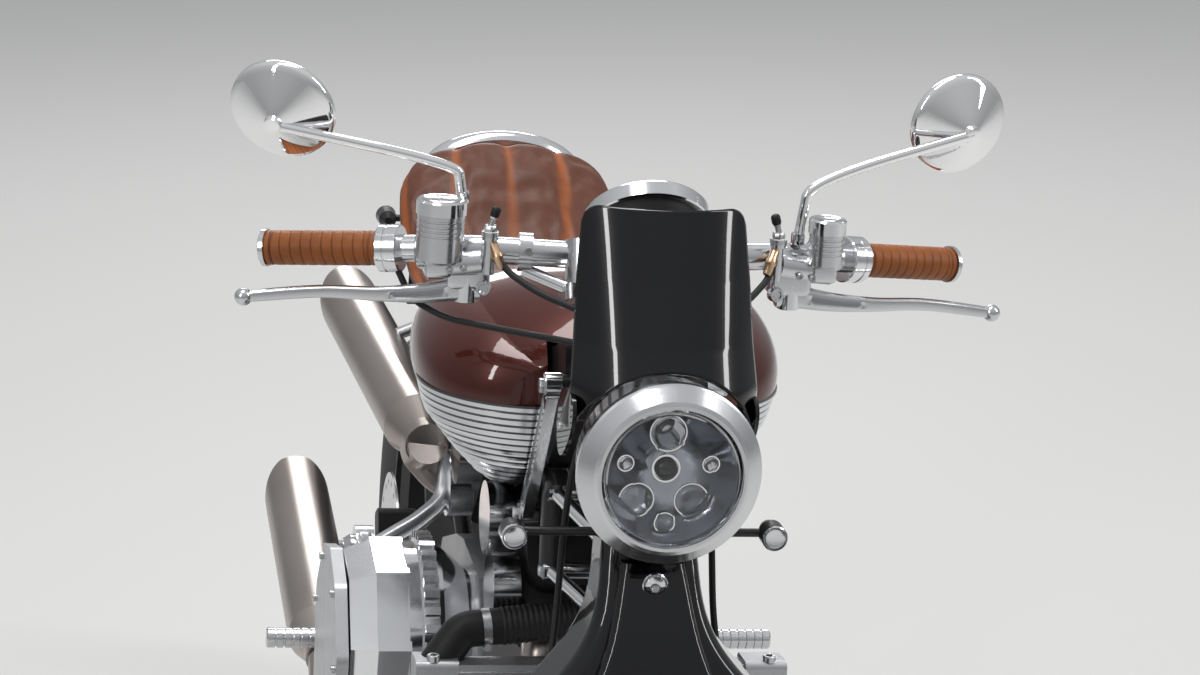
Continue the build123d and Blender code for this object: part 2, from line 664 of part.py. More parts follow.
def shocks():
    """Front and rear spring units, each a rod, a damper body and a round-wire spring's sleeve."""
    units = []
    # columns: upper eye, lower eye, spring radius
    for upper, lower, radius in (((0, 410, 772), (0, 300, 712), 21), ((0, 985, 763), (0, 1058, 416), 31)):
        upper, lower = Vector(*upper), Vector(*lower)
        length = (upper - lower).length
        unit = turned([(0, 9), (12, 9), (13, radius * 0.62), (length * 0.45, radius * 0.62),
                       (length * 0.46, 7), (length, 7)], upper, lower)
        turns = 7
        coil = length * 0.72
        for number in range(turns):
            at = upper + (lower - upper).normalized() * (length * 0.16 + coil * number / turns)
            unit += turned([(0, radius - 3), (2, radius), (7, radius), (9, radius - 3)], at, lower)
        units.append(unit)
    return units


def tilted(lean, part):
    """Turn a piece built upright on the crankshaft's centre into its place on the vee."""
    return Pos(0, CRANK_Y, CRANK_Z) * (Rot(lean, 0, 0) * part)


def crankcase():
    """Case halves round crankshaft and gearbox, with the sump below and a pocket for the chain."""
    half = CASE_HALF_WIDTH
    outline = [(548, 470), (560, 380), (620, 270), (760, 245), (900, 270), (966, 350), (972, 440),
               (940, 545), (820, 590), (760, 604), (620, 604), (570, 560)]
    case = side_plate(outline, -half, half, 18)
    case += rod((half - 6, CRANK_Y, CRANK_Z - 20), (half + 40, CRANK_Y, CRANK_Z - 20), 92)
    room = 44 + CHAIN_HEIGHT / 2 + RUNNING_GAP
    inner = CHAIN_PLACE - CHAIN_WIDTH / 2 - RUNNING_GAP
    case -= rod((inner, SPROCKET_Y, SPROCKET_Z), (half + 9, SPROCKET_Y, SPROCKET_Z), room)
    case -= block((inner, SPROCKET_Y, SPROCKET_Z - room - 40), (half + 50, 1000, SPROCKET_Z + room))
    case += rod((inner - 2, SPROCKET_Y, SPROCKET_Z), (half + 6, SPROCKET_Y, SPROCKET_Z), 24)
    pivot, axis = Vector(*STAND_PIVOT), Vector(*STAND_AXIS)
    case += rod(pivot - axis * 32, pivot, STAND_EYE_RADIUS)
    case += rod(pivot - axis, pivot + axis * 30, STAND_PIN_RADIUS)
    return case


def cylinders():
    """Front and rear cylinders of the vee, barrel, head and cam cover in line."""
    pieces = []
    for lean in (CYLINDER_LEAN, -CYLINDER_LEAN):
        barrel = Pos(0, 0, 145) * Box(140, 132, 90)
        head = Pos(0, 0, 222) * Box(164, 150, 66)
        cover = Pos(0, 0, 266) * Box(150, 126, 26)
        column = fillet(barrel.edges().filter_by(Axis.Z), 20)
        column += fillet(head.edges().filter_by(Axis.Z), 16)
        column += fillet(cover.edges().filter_by(Axis.Z), 24)
        pieces.append(tilted(lean, column))
    return pieces


def cam_covers():
    """Figure-of-eight covers over the two camshaft drives, on the right of each head."""
    pieces = []
    for lean in (CYLINDER_LEAN, -CYLINDER_LEAN):
        lobes = Pos(0, 0, 230) * Box(26, 60, 34)
        for side in (-1, 1):
            lobes += Pos(0, side * 44, 230) * Cylinder(41, 30, rotation=(0, 90, 0))
        pieces.append(tilted(lean, Pos(-97, 0, 0) * lobes))
    return pieces


def clutch_drum():
    """Dry clutch: ring of square teeth, round flange and a stepped drum with flat facets."""
    centre = Vector(-CASE_HALF_WIDTH, CRANK_Y, CRANK_Z)
    inner = TOOTH_RING_RADIUS - 8
    drum = turned([(0, 90), (8, 90), (40, inner - 4), (46, inner), (64, inner), (66, inner - 4),
                   (80, inner - 4), (82, 100)], centre, centre - Vector(1, 0, 0))
    reach = CLUTCH_OUTER_PLACE - CASE_HALF_WIDTH
    # columns: start along the axle, radius to the corners there, end, radius there
    for near, wide, far, narrow in ((78, CLUTCH_RADIUS, reach - 30, CLUTCH_RADIUS),
                                    (reach - 30, CLUTCH_RADIUS - 3, reach, CLUTCH_RADIUS - 14)):
        drum += loft([drum_section(centre, near, wide), drum_section(centre, far, narrow)])
    tooth = Pos(-55, 0, inner + 2) * Box(17, 9, 12)
    ring = [Pos(*centre) * (Rot(number * 360 / CLUTCH_TEETH, 0, 0) * tooth) for number in range(CLUTCH_TEETH)]
    return drum + ring


def drum_section(centre, along, radius):
    """Facet outline of the drum at a distance outwards from the crankcase, a corner near its top."""
    corner_turn = 15.5
    plane = Plane(origin=centre - Vector(along, 0, 0), x_dir=(0, 0, 1), z_dir=(-1, 0, 0))
    return plane * (Rot(0, 0, corner_turn) * RegularPolygon(radius, CLUTCH_FACETS))


def side_cover():
    """Fluted cast cover below the clutch drum, with an outer wall and parallel grooves."""
    outline = [(556, 470), (590, 360), (700, 320), (820, 350), (880, 450), (840, 520), (790, 560)]
    wall = [(572, 520), (590, 360), (700, 320), (820, 350), (840, 520), (780, 590), (700, 612), (630, 590)]
    outside = CLUTCH_OUTER_PLACE + 3
    cover = side_plate(outline, -outside, -CASE_HALF_WIDTH, 22)
    cover -= rod((-CASE_HALF_WIDTH + 2, CRANK_Y, CRANK_Z), (-outside - 6, CRANK_Y, CRANK_Z),
                 TOOTH_RING_RADIUS + 5)
    cover += side_plate(wall, -outside - 14, -outside, 14)
    for number in range(COVER_GROOVES):
        groove = Pos(-outside + 40, 545 + 9 * number, 430 - 14 * number)
        cover -= groove * (Rot(25, 0, 0) * (Rot(0, 0, -20) * Box(150, 60, 4)))
    return cover


def radiator():
    """Radiator core across the front of the engine between its two end tanks."""
    core = Pos(0, 398, 470) * (Rot(-4, 0, 0) * Box(320, 34, 230))
    for side in (-1, 1):
        tank = Pos(side * 180, 398, 470) * (Rot(-4, 0, 0) * Box(46, 46, 240))
        core += fillet(tank.edges().filter_by(Axis.X), 8)
    return core


def coolant_hose():
    """Ribbed hose from the front head across to the right end tank."""
    return pipe([(14, 490, 604), (8, 434, 626), (-150, 428, 612), (-196, 400, 556)], 20, 26)


def header_pipes():
    """Front header down ahead of the engine and back on the right; rear header to its silencer."""
    front = pipe([(-50, 500, 620), (-54, 462, 570), (-60, 462, 300), (-150, 500, 222),
                  (-215, 700, 225), (-236, 900, 300), LOWER_SILENCER[0]], HEADER_RADIUS, 40)
    rear = pipe([(-60, 880, 625), (-110, 925, 625), (-146, 905, 668), UPPER_SILENCER[0]],
                HEADER_RADIUS, 27)
    return [front, rear]


def silencers():
    """Two stacked silencers on the right: coned inlets and slash-cut open ends."""
    pieces = []
    # columns: start and end of the centre line, radius, how far the slash cut reaches back
    for (start, end), radius in ((UPPER_SILENCER, UPPER_SILENCER_RADIUS),
                                 (LOWER_SILENCER, LOWER_SILENCER_RADIUS)):
        start, end = Vector(*start), Vector(*end)
        length = (end - start).length
        can = turned([(0, HEADER_RADIUS + 3), (18, HEADER_RADIUS + 4), (60, radius), (length, radius)],
                     start, end)
        can -= turned([(length - 120, radius - 14), (length - 118, radius - 2.5),
                       (length + 10, radius - 2.5)], start, end)
        cut = Plane(origin=end - (end - start).normalized() * 45, z_dir=Vector(0, 0.78, -0.63))
        can -= extrude(cut * Rectangle(400, 400), amount=200)
        pieces.append(can)
    return pieces


def silencer_brackets():
    """Cast hangers that carry the silencers from the seat rail and the footrest plate."""
    upper = pipe([(-96, 1150, 780), (-120, 1150, 760), (-166, 1150, 740)], 8, 12)
    lower = pipe([(-158, 975, 485), (-190, 1040, 470), (-225, 1090, 420)], 9, 40)
    return [upper, lower]


def tank_half_width(y):
    """Half width of the tank at its split line: two quarter ellipses front and rear."""
    reach = TANK_WIDEST - TANK_FRONT if y < TANK_WIDEST else TANK_REAR - TANK_WIDEST
    share = min(1, abs(y - TANK_WIDEST) / reach)
    spread = TANK_HALF_WIDTH - TUNNEL_HALF_WIDTH
    return TUNNEL_HALF_WIDTH + spread * math.sqrt(1 - share ** 2)


def tank_upper():
    """Painted saddle tank: domed shell with a tunnel for the spine below."""
    # columns: y, height of the crown, height of the shoulder, shoulder half width as a share
    rows = [(418, 938, 908, 0.72), (455, 964, 930, 0.66), (540, TANK_TOP, 958, 0.70),
            (690, 972, 944, 0.70), (844, 905, 890, 0.85)]
    sections = []
    for y, crown, shoulder, share in rows:
        half = tank_half_width(y)
        out = half * share
        middle = (TANK_SPLIT + shoulder) / 2 + 4
        bulge = half * 0.985
        sections.append(Plane.XZ.offset(-y) * make_face([
            Line((half, TANK_SPLIT), (-half, TANK_SPLIT)),
            ThreePointArc((-half, TANK_SPLIT), (-bulge, middle - 10), (-out, shoulder)),
            ThreePointArc((-out, shoulder), (0, crown), (out, shoulder)),
            ThreePointArc((out, shoulder), (bulge, middle - 10), (half, TANK_SPLIT)),
        ]))
    shell = loft(sections)
    tunnel = side_plate([(380, 800), (380, TUNNEL_TOP + 6), (440, TUNNEL_TOP), (820, 886), (870, 780)],
                        -TUNNEL_HALF_WIDTH, TUNNEL_HALF_WIDTH)
    return shell - tunnel


def lobe_section(z, inner, outer, front, rear):
    """Level section of one tank lobe: straight inner side, two quarter ellipses outside."""
    return Pos(0, 0, z) * make_face([
        Line((inner, rear), (inner, front)),
        EllipticalCenterArc((inner, TANK_WIDEST), outer - inner, TANK_WIDEST - front,
                            start_angle=-90, arc_size=90),
        EllipticalCenterArc((inner, TANK_WIDEST), outer - inner, rear - TANK_WIDEST,
                            start_angle=0, arc_size=90),
    ])


def tank_lower():
    """Bare lower lobes of the tank, one each side of the spine."""
    # columns: height, inner and outer places across, front and rear
    rows = [(TANK_SPLIT - 0.3, TUNNEL_HALF_WIDTH, TANK_HALF_WIDTH, TANK_FRONT, TANK_REAR),
            (830, 77, 190, 422, 800), (790, 82, 158, 446, 720), (LOBE_BOTTOM, 100, 124, 500, 600)]
    core = loft([lobe_section(z, inner, outer - RIB_DEPTH, front + RIB_DEPTH, rear - RIB_DEPTH)
                 for z, inner, outer, front, rear in rows])
    ribs = []
    for number in range(1, int((TANK_SPLIT - LOBE_BOTTOM) / RIB_PITCH)):
        z = TANK_SPLIT - RIB_PITCH * number
        above, below = [(a, b) for a, b in zip(rows, rows[1:]) if b[0] <= z][0]
        share = (above[0] - z) / (above[0] - below[0])
        size = [a + (b - a) * share for a, b in zip(above[1:], below[1:])]
        ribs.append(extrude(lobe_section(z, *size), amount=0.6 * RIB_PITCH))
    lip = extrude(lobe_section(TANK_SPLIT - 0.5 * RIB_PITCH, *rows[0][1:]), amount=0.5 * RIB_PITCH - 0.3)
    return list(both_sides(core + ribs + lip))


def fuel_cap():
    """Round filler cap on top of the tank."""
    return turned([(-12, 26), (3, 26), (8, 22)], (0, 620, 982), (0, 621, 1002))


def seat_pad():
    """Padded seat from the tank back to the hump."""
    # columns: y, half width, height of the top, height of the underside
    rows = [(856, 70, 880, 850), (960, 104, SEAT_HEIGHT + 6, 796), (1090, 132, SEAT_HEIGHT + 14, 808),
            (1180, 138, 878, 826), (1250, 134, 950, 850), (1300, 118, HUMP_TOP, 866)]
    sections = []
    for y, half, top, bottom in rows:
        height = top - bottom
        corner = min(0.48 * height, 40)
        sections.append(Plane.XZ.offset(-y) * (Pos(0, (top + bottom) / 2) *
                                               RectangleRounded(2 * half, height, corner)))
    return loft(sections)


def tail_cowl():
    """Bare metal tail behind the hump, with a rim that stands above the pad."""
    rows = [(1303, 130, 982, 864), (1380, 104, 966, 880), (1440, 66, 940, 896)]
    sections = []
    for y, half, top, bottom in rows:
        height = top - bottom
        sections.append(Plane.XZ.offset(-y) * (Pos(0, (top + bottom) / 2) *
                                               RectangleRounded(2 * half, height, 0.44 * height)))
    return loft(sections)


def tail_light():
    """Round tail lamp on the back of the tail."""
    return turned([(0.2, 28), (10, 28), (14, 22)], (0, 1440, 918), (0, 1450, 918))


def plate_holder():
    """Bracket behind the seat with a blank plate and the rear signals."""
    bracket = pipe([(0, 1386, 860), (0, 1470, 830), (0, 1519, 762)], 9, 40)
    plate = Box(180, 3, 130)
    for side in (-1, 1):
        plate -= Pos(side * PLATE_HOLE_SPACING / 2, 0, 40) * (Rot(90, 0, 0) * Cylinder(PLATE_HOLE_RADIUS, 9))
    plate = Pos(*PLATE_PLACE) * (Rot(PLATE_TILT, 0, 0) * plate)
    bar = rod((-130, 1466, 828), (130, 1466, 828), 5)
    for side in (-1, 1):
        bar += turned([(-20, 5), (-10, 12), (14, 14), (16, 11)], (side * 132, 1466, 828),
                      (side * 132, 1476, 828))
    return bracket + plate + bar


def swingarm():
    """Cast swingarm: two tapered legs, a cross tube at the pivot and slots for the axle."""
    # columns: y, z, place across, width, height
    rows = [(PIVOT_Y, PIVOT_Z, 124, 26, 70), (1150, 372, 134, 24, 74), (WHEELBASE, REAR_RADIUS, 134, 22, 56)]
    leg = loft([Plane.XZ.offset(-y) * (Pos(x, z) * RectangleRounded(w, h, 8))
                for y, z, x, w, h in rows])
    leg += rod((121, WHEELBASE, REAR_RADIUS), (147, WHEELBASE, REAR_RADIUS), 34)
    leg += rod((110, PIVOT_Y, PIVOT_Z), (137, PIVOT_Y, PIVOT_Z), 38)
    leg += rod((0, PIVOT_Y, PIVOT_Z), (112, PIVOT_Y, PIVOT_Z), 20)
    arm = leg + mirror(leg, about=Plane.YZ)
    arm += block((-124, 1030, 352), (124, 1100, 412), 12)
    arm -= rod((-200, WHEELBASE, REAR_RADIUS), (200, WHEELBASE, REAR_RADIUS), AXLE_RADIUS)
    for side in (-1, 1):
        x, y, z = BOBBIN
        arm += rod((side * (x - 22), y, z), (side * x, y, z), 13)
        arm -= rod((side * (x - 18), y, z), (side * (x + 1), y, z), BOBBIN_HOLE_RADIUS)
    return arm


def rear_axle():
    """Rear axle with a flanged nut at each end."""
    axle = rod((-150, WHEELBASE, REAR_RADIUS), (150, WHEELBASE, REAR_RADIUS), AXLE_RADIUS - BEARING_GAP)
    for side in (-1, 1):
        axle += turned([(0, 21), (6, 21), (16, 15)], (side * 147.2, WHEELBASE, REAR_RADIUS),
                       (side * 160, WHEELBASE, REAR_RADIUS))
    return axle


def rear_caliper():
    """Caliper over the rear disc on an arm from the swingarm."""
    body = caliper(-REAR_DISC_PLACE - 30, -REAR_DISC_PLACE + 20, (-REAR_DISC_PLACE,))
    out = REAR_DISC_RADIUS - 6
    angle = 150
    y = WHEELBASE + out * math.cos(math.radians(angle))
    z = REAR_RADIUS + out * math.sin(math.radians(angle))
    return Pos(0, y, z) * (Rot(angle - 90, 0, 0) * body)


def chain():
    """Drive chain as one fixed loop around both sprockets."""
    half = CHAIN_HEIGHT / 2
    front, rear = 44, SPROCKET_RADIUS + RUNNING_GAP + half
    outer = make_hull([*(Pos(SPROCKET_Y, SPROCKET_Z) * Circle(front + half)).edges(),
                       *(Pos(WHEELBASE, REAR_RADIUS) * Circle(rear + half)).edges()])
    inner = make_hull([*(Pos(SPROCKET_Y, SPROCKET_Z) * Circle(front - half)).edges(),
                       *(Pos(WHEELBASE, REAR_RADIUS) * Circle(rear - half)).edges()])
    loop = Plane.YZ.offset(CHAIN_PLACE - CHAIN_WIDTH / 2) * (outer - inner)
    return extrude(loop, amount=CHAIN_WIDTH)


def footrests():
    """Rider's pegs with toe levers on plates beside the swingarm pivot."""
    pieces = []
    for side in (-1, 1):
        plate_x = sorted((side * 152, side * 164))
        peg = rod((side * 160, PEG_Y, PEG_Z), (side * (PEG_INNER + 2), PEG_Y, PEG_Z), 9)
        pitch = PEG_LENGTH / PEG_RINGS
        rows = [(0, PEG_RADIUS)]
        for number in range(1, PEG_RINGS):
            along = number * pitch
            rows += [(along - 3, PEG_RADIUS), (along - 2.4, PEG_RADIUS - 2), (along - 0.6, PEG_RADIUS - 2),
                     (along, PEG_RADIUS)]
        rows += [(PEG_LENGTH - 2, PEG_RADIUS), (PEG_LENGTH, PEG_RADIUS - 2)]
        peg += turned(rows, (side * PEG_INNER, PEG_Y, PEG_Z), (side * (PEG_INNER + 1), PEG_Y, PEG_Z))
        peg += side_plate([(890, 318), (925, 318), (945, 400), (996, 470), (988, 500), (890, 520),
                           (872, 500), (905, 420)], *plate_x, 7)
        peg += rod((side * 100, 890, 500), (side * 153, 890, 500), 10)
        peg += rod((side * 100, 905, 335), (side * 153, 905, 335), 8)
        pieces.append(peg)
    return pieces


def side_stand():
    """Stand leg from its pivot lug to the foot, whose sole lies on the leaned ground."""
    x, y = STAND_FOOT
    slope = math.tan(math.radians(LEAN))
    sole = x * slope + SOLE_DROP
    thickness = 8
    pivot = Vector(*STAND_PIVOT)
    foot = Pos(x, y, sole + thickness / 2 / math.cos(math.radians(LEAN))) * \
        (Rot(0, -LEAN, 0) * Box(56, 64, thickness))
    axis = Vector(*STAND_AXIS)
    leg = rod(pivot + axis * 14, (x, y, sole + thickness), STAND_RADIUS)
    eye = rod(pivot + axis * BEARING_GAP, pivot + axis * 26, STAND_EYE_RADIUS)
    bore = rod(pivot - axis * 40, pivot + axis * 40, STAND_PIN_RADIUS + BEARING_GAP)
    return foot + leg + eye - bore - rod(pivot - axis * 40, pivot + axis * BEARING_GAP, 40)


def model():
    """Every piece by node name: a solid, or a list of solids that share a node."""
    bowl, bezel, lens, reflector = headlight()
    heads, glasses = mirrors()
    blades = levers()
    pieces = {}
    pieces.update(front_wheel())
    pieces.update(rear_wheel())
    pieces.update({
        "fork_upright": fork(),
        "front_mudguard": front_mudguard(),
        "front_axle": front_axle(),
        "front_calipers": front_calipers(),
        "steering_stem": steering_stem(),
        "handlebar": [handlebar_bar(BAR_RADIUS - 0.05), *bar_ends()],
        "grips": grips(),
        "hand_controls": let_in(hand_controls(), blades) + solids_of(blades),
        "mirrors": heads,
        "mirror_glasses": glasses,
        "headlight_shell": bowl,
        "headlight_bezel": bezel,
        "headlight_lens": lens,
        "headlight_reflector": reflector,
        "cowl": cowl(),
        "instrument": instrument(),
        "front_signals": front_signals(),
        "control_hoses": control_hoses(),
        "frame": frame(),
        "front_struts": front_struts(),
        "wishbones": wishbones(),
        "shocks": shocks(),
        "crankcase": crankcase(),
        "cylinders": cylinders(),
        "cam_covers": cam_covers(),
        "clutch_drum": clutch_drum(),
        "side_cover": side_cover(),
        "radiator": radiator(),
        "coolant_hose": coolant_hose(),
        "header_pipes": header_pipes(),
        "silencers": silencers(),
        "silencer_brackets": silencer_brackets(),
        "tank_upper": tank_upper(),
        "tank_lower": tank_lower(),
        "fuel_cap": fuel_cap(),
        "seat_pad": seat_pad(),
        "tail_cowl": tail_cowl(),
        "tail_light": tail_light(),
        "plate_holder": plate_holder(),
        "swingarm": swingarm(),
        "rear_axle": rear_axle(),
        "rear_caliper": rear_caliper(),
        "chain": chain(),
        "footrests": footrests(),
        "side_stand": side_stand(),
    })
    for name, neighbour in SEATED:
        pieces[name] = let_in(pieces[name], pieces[neighbour])
    return pieces


# A cut-off piece under this share of its solid is a crumb.
CRUMB = 0.1

# Where two fixed pieces meet, the first is cut to the shape of the second.
SEATED = (
    ("cam_covers", "clutch_drum"), ("cam_covers", "crankcase"), ("cam_covers", "cylinders"),
    ("cylinders", "crankcase"), ("cylinders", "frame"), ("coolant_hose", "radiator"),
    ("coolant_hose", "cylinders"), ("crankcase", "frame"), ("crankcase", "swingarm"),
    ("crankcase", "footrests"), ("side_cover", "crankcase"), ("side_cover", "clutch_drum"),
    ("clutch_drum", "crankcase"), ("front_calipers", "fork_upright"), ("cowl", "instrument"),
    ("front_mudguard", "fork_upright"), ("front_signals", "fork_upright"),
    ("steering_stem", "fork_upright"), ("front_signals", "steering_stem"),
    ("front_struts", "frame"), ("front_struts", "cylinders"), ("front_struts", "cam_covers"),
    ("wishbones", "frame"), ("shocks", "wishbones"), ("shocks", "frame"), ("shocks", "swingarm"),
    ("plate_holder", "frame"), ("seat_pad", "frame"), ("silencer_brackets", "frame"),
    ("silencer_brackets", "silencers"), ("silencer_brackets", "footrests"),
    ("header_pipes", "silencers"), ("header_pipes", "cylinders"), ("header_pipes", "cam_covers"),
    ("tank_upper", "fuel_cap"), ("mirrors", "hand_controls"),
    ("control_hoses", "hand_controls"), ("control_hoses", "steering_stem"),
    ("control_hoses", "front_calipers"), ("headlight_shell", "steering_stem"), ("headlight_shell", "headlight_bezel"),
    ("instrument", "steering_stem"), ("instrument", "handlebar"),
    ("rear_caliper", "swingarm"), ("tail_cowl", "frame"), ("tail_light", "tail_cowl"),
    ("plate_holder", "tail_cowl"), ("tail_cowl", "seat_pad"),
)


def let_in(piece, neighbour):
    """The piece less its neighbour, without the crumbs that a cut leaves beyond it."""
    left = solids_of(piece)
    for other in solids_of(neighbour):
        box = other.bounding_box()
        cut = []
        for solid in left:
            found = (solid - other).solids() if box.overlaps(solid.bounding_box()) else [solid]
            largest = max(each.volume for each in found)
            cut += [each for each in found if each.volume > CRUMB * largest]
        left = cut
    return left


def solids_of(piece):
    """The plain solids of a piece or of a list of pieces."""
    found = []
    for part in piece if isinstance(piece, (list, tuple)) else [piece]:
        found += part.solids()
    return found


def lean_over(shape):
    """Lean a shape from upright onto the side stand, about the line under the wheels."""
    return Rot(0, LEAN, 0) * shape


pieces = {name: [lean_over(solid) for solid in solids_of(piece)] for name, piece in model().items()}
boxes = [solid.bounding_box() for solids in pieces.values() for solid in solids]
LOW = [min(getattr(box.min, axis) for box in boxes) for axis in "XYZ"]
HIGH = [max(getattr(box.max, axis) for box in boxes) for axis in "XYZ"]
SHIFT = (-(LOW[0] + HIGH[0]) / 2, -(LOW[1] + HIGH[1]) / 2, -LOW[2])


def parked(point):
    """Where a point of the upright bike comes to lie once it is parked."""
    c, s = math.cos(math.radians(LEAN)), math.sin(math.radians(LEAN))
    x, y, z = point
    return (x * c + z * s + SHIFT[0], y + SHIFT[1], z * c - x * s + SHIFT[2])


def parked_direction(direction):
    """A direction of the upright bike once it is parked."""
    c, s = math.cos(math.radians(LEAN)), math.sin(math.radians(LEAN))
    x, y, z = direction
    return (x * c + z * s, y, z * c - x * s)


os.makedirs("parts", exist_ok=True)
for name, solids in pieces.items():
    moved = [Pos(*SHIFT) * solid for solid in solids]
    export_step(moved[0] if len(moved) == 1 else Compound(children=moved), f"parts/{name}.step")
print(len(pieces), "nodes; box", [round(high - low, 1) for low, high in zip(LOW, HIGH)], "mm")
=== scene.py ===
# %% [markdown]
# Cafe racer motorcycle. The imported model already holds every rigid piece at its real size, so
# this lesson gives those pieces their finishes and adds what is too soft or too fine for it:
# the padded seat, wound grips, tread, screws, lamp insides, flyscreen, clock and hand controls.
# Lengths in Blender are metres.

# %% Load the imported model
import json
import math
import bmesh
import bpy
import numpy as np
from mathutils import Matrix
from mathutils.bvhtree import BVHTree


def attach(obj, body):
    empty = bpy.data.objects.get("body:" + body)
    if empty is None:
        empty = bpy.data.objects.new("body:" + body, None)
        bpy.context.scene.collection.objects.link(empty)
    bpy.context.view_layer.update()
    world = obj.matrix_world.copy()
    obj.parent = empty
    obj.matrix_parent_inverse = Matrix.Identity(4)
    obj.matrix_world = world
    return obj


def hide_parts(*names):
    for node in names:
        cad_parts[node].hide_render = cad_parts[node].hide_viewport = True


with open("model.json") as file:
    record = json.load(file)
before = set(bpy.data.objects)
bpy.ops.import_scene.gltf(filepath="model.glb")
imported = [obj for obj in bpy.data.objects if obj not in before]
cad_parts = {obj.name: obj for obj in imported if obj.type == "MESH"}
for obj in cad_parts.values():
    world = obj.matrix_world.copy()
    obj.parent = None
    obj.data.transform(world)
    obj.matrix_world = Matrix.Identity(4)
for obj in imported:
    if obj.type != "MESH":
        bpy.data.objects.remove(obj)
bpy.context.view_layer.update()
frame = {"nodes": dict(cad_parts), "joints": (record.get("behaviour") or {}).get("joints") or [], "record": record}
NODES = frame["nodes"]

# %% [markdown]
# The bike leans on its side stand, which makes every place awkward to write. So places are given
# as on the upright bike, in millimetres: x to the rider's left, y back from the front axle and z
# up from the ground. The front wheel's joint tells where that frame lies: its axis is the upright
# x direction, and it stands at the axle. A matrix product then carries any array of points over.

# %% From the upright bike to the parked one
JOINTS = {joint["name"]: joint for joint in frame["joints"]}
AXLE_HEIGHT = 313.0
ACROSS = np.array(JOINTS["front_wheel_spin"]["axis"])
ALONG = np.array([0.0, 1.0, 0.0])
UP = np.cross(ACROSS, ALONG)
LEAN_FRAME = np.array([ACROSS, ALONG, UP])
AXLE = np.array(JOINTS["front_wheel_spin"]["pos_m"])


def parked(points):
    """Upright millimetres to parked metres: each row times the three directions, from the axle."""
    points = np.asarray(points, float) - [0.0, 0.0, AXLE_HEIGHT]
    return points @ LEAN_FRAME / 1000 + AXLE


def parked_way(direction):
    """A direction of the upright bike, as a unit vector of the parked one."""
    way = np.asarray(direction, float) @ LEAN_FRAME
    return way / np.linalg.norm(way)


print("lean in degrees:", round(math.degrees(math.asin(-ACROSS[2])), 2))

# %% [markdown]
# The camera stands where the photographer stood: 1.8 m up, a little to the rider's right, with a
# long lens. Its place was found by matching known sizes, such as the wheelbase, the grips and the
# headlight, to the picture.

# %% Camera at the photograph's angle
CAMERA_PLACE = np.array([-504.6, -2825.2, 1849.1])
CAMERA_PITCH, CAMERA_YAW, CAMERA_ROLL = 15.4, 9.6, -0.2
CAMERA_LENS = 96.84
GROUND_ORIGIN = AXLE - np.array([0.0, 0.0, AXLE_HEIGHT]) @ LEAN_FRAME / 1000


def turn(axis, degrees):
    """Matrix that turns columns about x or z by an angle, by the right-hand rule."""
    c, s = math.cos(math.radians(degrees)), math.sin(math.radians(degrees))
    if axis == "x":
        return np.array([[1, 0, 0], [0, c, -s], [0, s, c]])
    return np.array([[c, -s, 0], [s, c, 0], [0, 0, 1]])


camera_data = bpy.data.cameras.new("camera")
camera_data.lens = CAMERA_LENS
camera_data.clip_end = 60
camera = bpy.data.objects.new("camera", camera_data)
bpy.context.scene.collection.objects.link(camera)
pose = np.eye(4)
pose[:3, :3] = turn("z", -CAMERA_YAW) @ turn("x", 90 - CAMERA_PITCH) @ turn("z", CAMERA_ROLL)
pose[:3, 3] = GROUND_ORIGIN + CAMERA_PLACE / 1000
camera.matrix_world = Matrix(pose.tolist())
bpy.context.scene.camera = camera

# %% [markdown]
# Every finish here is a small graph of shader nodes. Three helpers keep them short: one opens an
# empty graph, one adds a node with its inputs, and one ends the graph in a shader.

# %% Helpers for shader graphs
SCENE = bpy.context.scene
SCENE.view_settings.view_transform = "Standard"


def node_tree(name):
    """A new material and its empty node tree."""
    material = bpy.data.materials.new(name)
    material.use_nodes = True
    material.node_tree.nodes.clear()
    return material, material.node_tree


def node(tree, kind, inputs=None, **settings):
    """Adds a shader node. An input that is a socket is joined, and any other is set."""
    new = tree.nodes.new("ShaderNode" + kind)
    for key, value in settings.items():
        setattr(new, key, value)
    for key, value in (inputs or {}).items():
        if isinstance(value, bpy.types.NodeSocket):
            tree.links.new(value, new.inputs[key])
        else:
            new.inputs[key].default_value = value
    return new


def end_in(tree, kind, inputs, output="OutputMaterial"):
    """Ends a graph in a shader with these inputs, joined to the output."""
    tree.links.new(node(tree, kind, inputs).outputs[0], node(tree, output).inputs[0])


# %% [markdown]
# A studio for polished metal needs large pale surfaces to mirror, so the lamps are wide areas and
# the world is a soft grey. The floor is pale for the camera and takes the bike's shadow.

# %% Floor, lamps and world
FLOOR_HALF = 14.0


def build_floor():
    """One large flat square under the bike."""
    mesh = bpy.data.meshes.new("floor")
    corners = [(FLOOR_HALF * x, FLOOR_HALF * y, 0) for x, y in ((-1, -1), (1, -1), (1, 1), (-1, 1))]
    mesh.from_pydata(corners, [], [(0, 1, 2, 3)])
    floor = bpy.data.objects.new("floor", mesh)
    SCENE.collection.objects.link(floor)
    material, tree = node_tree("pale floor")
    end_in(tree, "BsdfPrincipled", {"Base Color": (0.66, 0.655, 0.64, 1), "Roughness": 0.6})
    mesh.materials.append(material)


def area_lamp(name, place, target, size, power):
    """Soft oblong lamp at a place, pointed at a target."""
    lamp = bpy.data.lights.new(name, "AREA")
    lamp.energy = power
    lamp.shape = "RECTANGLE"
    lamp.size, lamp.size_y = size
    item = bpy.data.objects.new(name, lamp)
    SCENE.collection.objects.link(item)
    back = np.array(place, float) - np.array(target, float)
    back /= np.linalg.norm(back)
    side = np.cross([0, 0, 1.0], back)
    side /= np.linalg.norm(side)
    matrix = np.eye(4)
    matrix[:3, :3] = np.array([side, np.cross(back, side), back]).T
    matrix[:3, 3] = place
    item.matrix_world = Matrix(matrix.tolist())


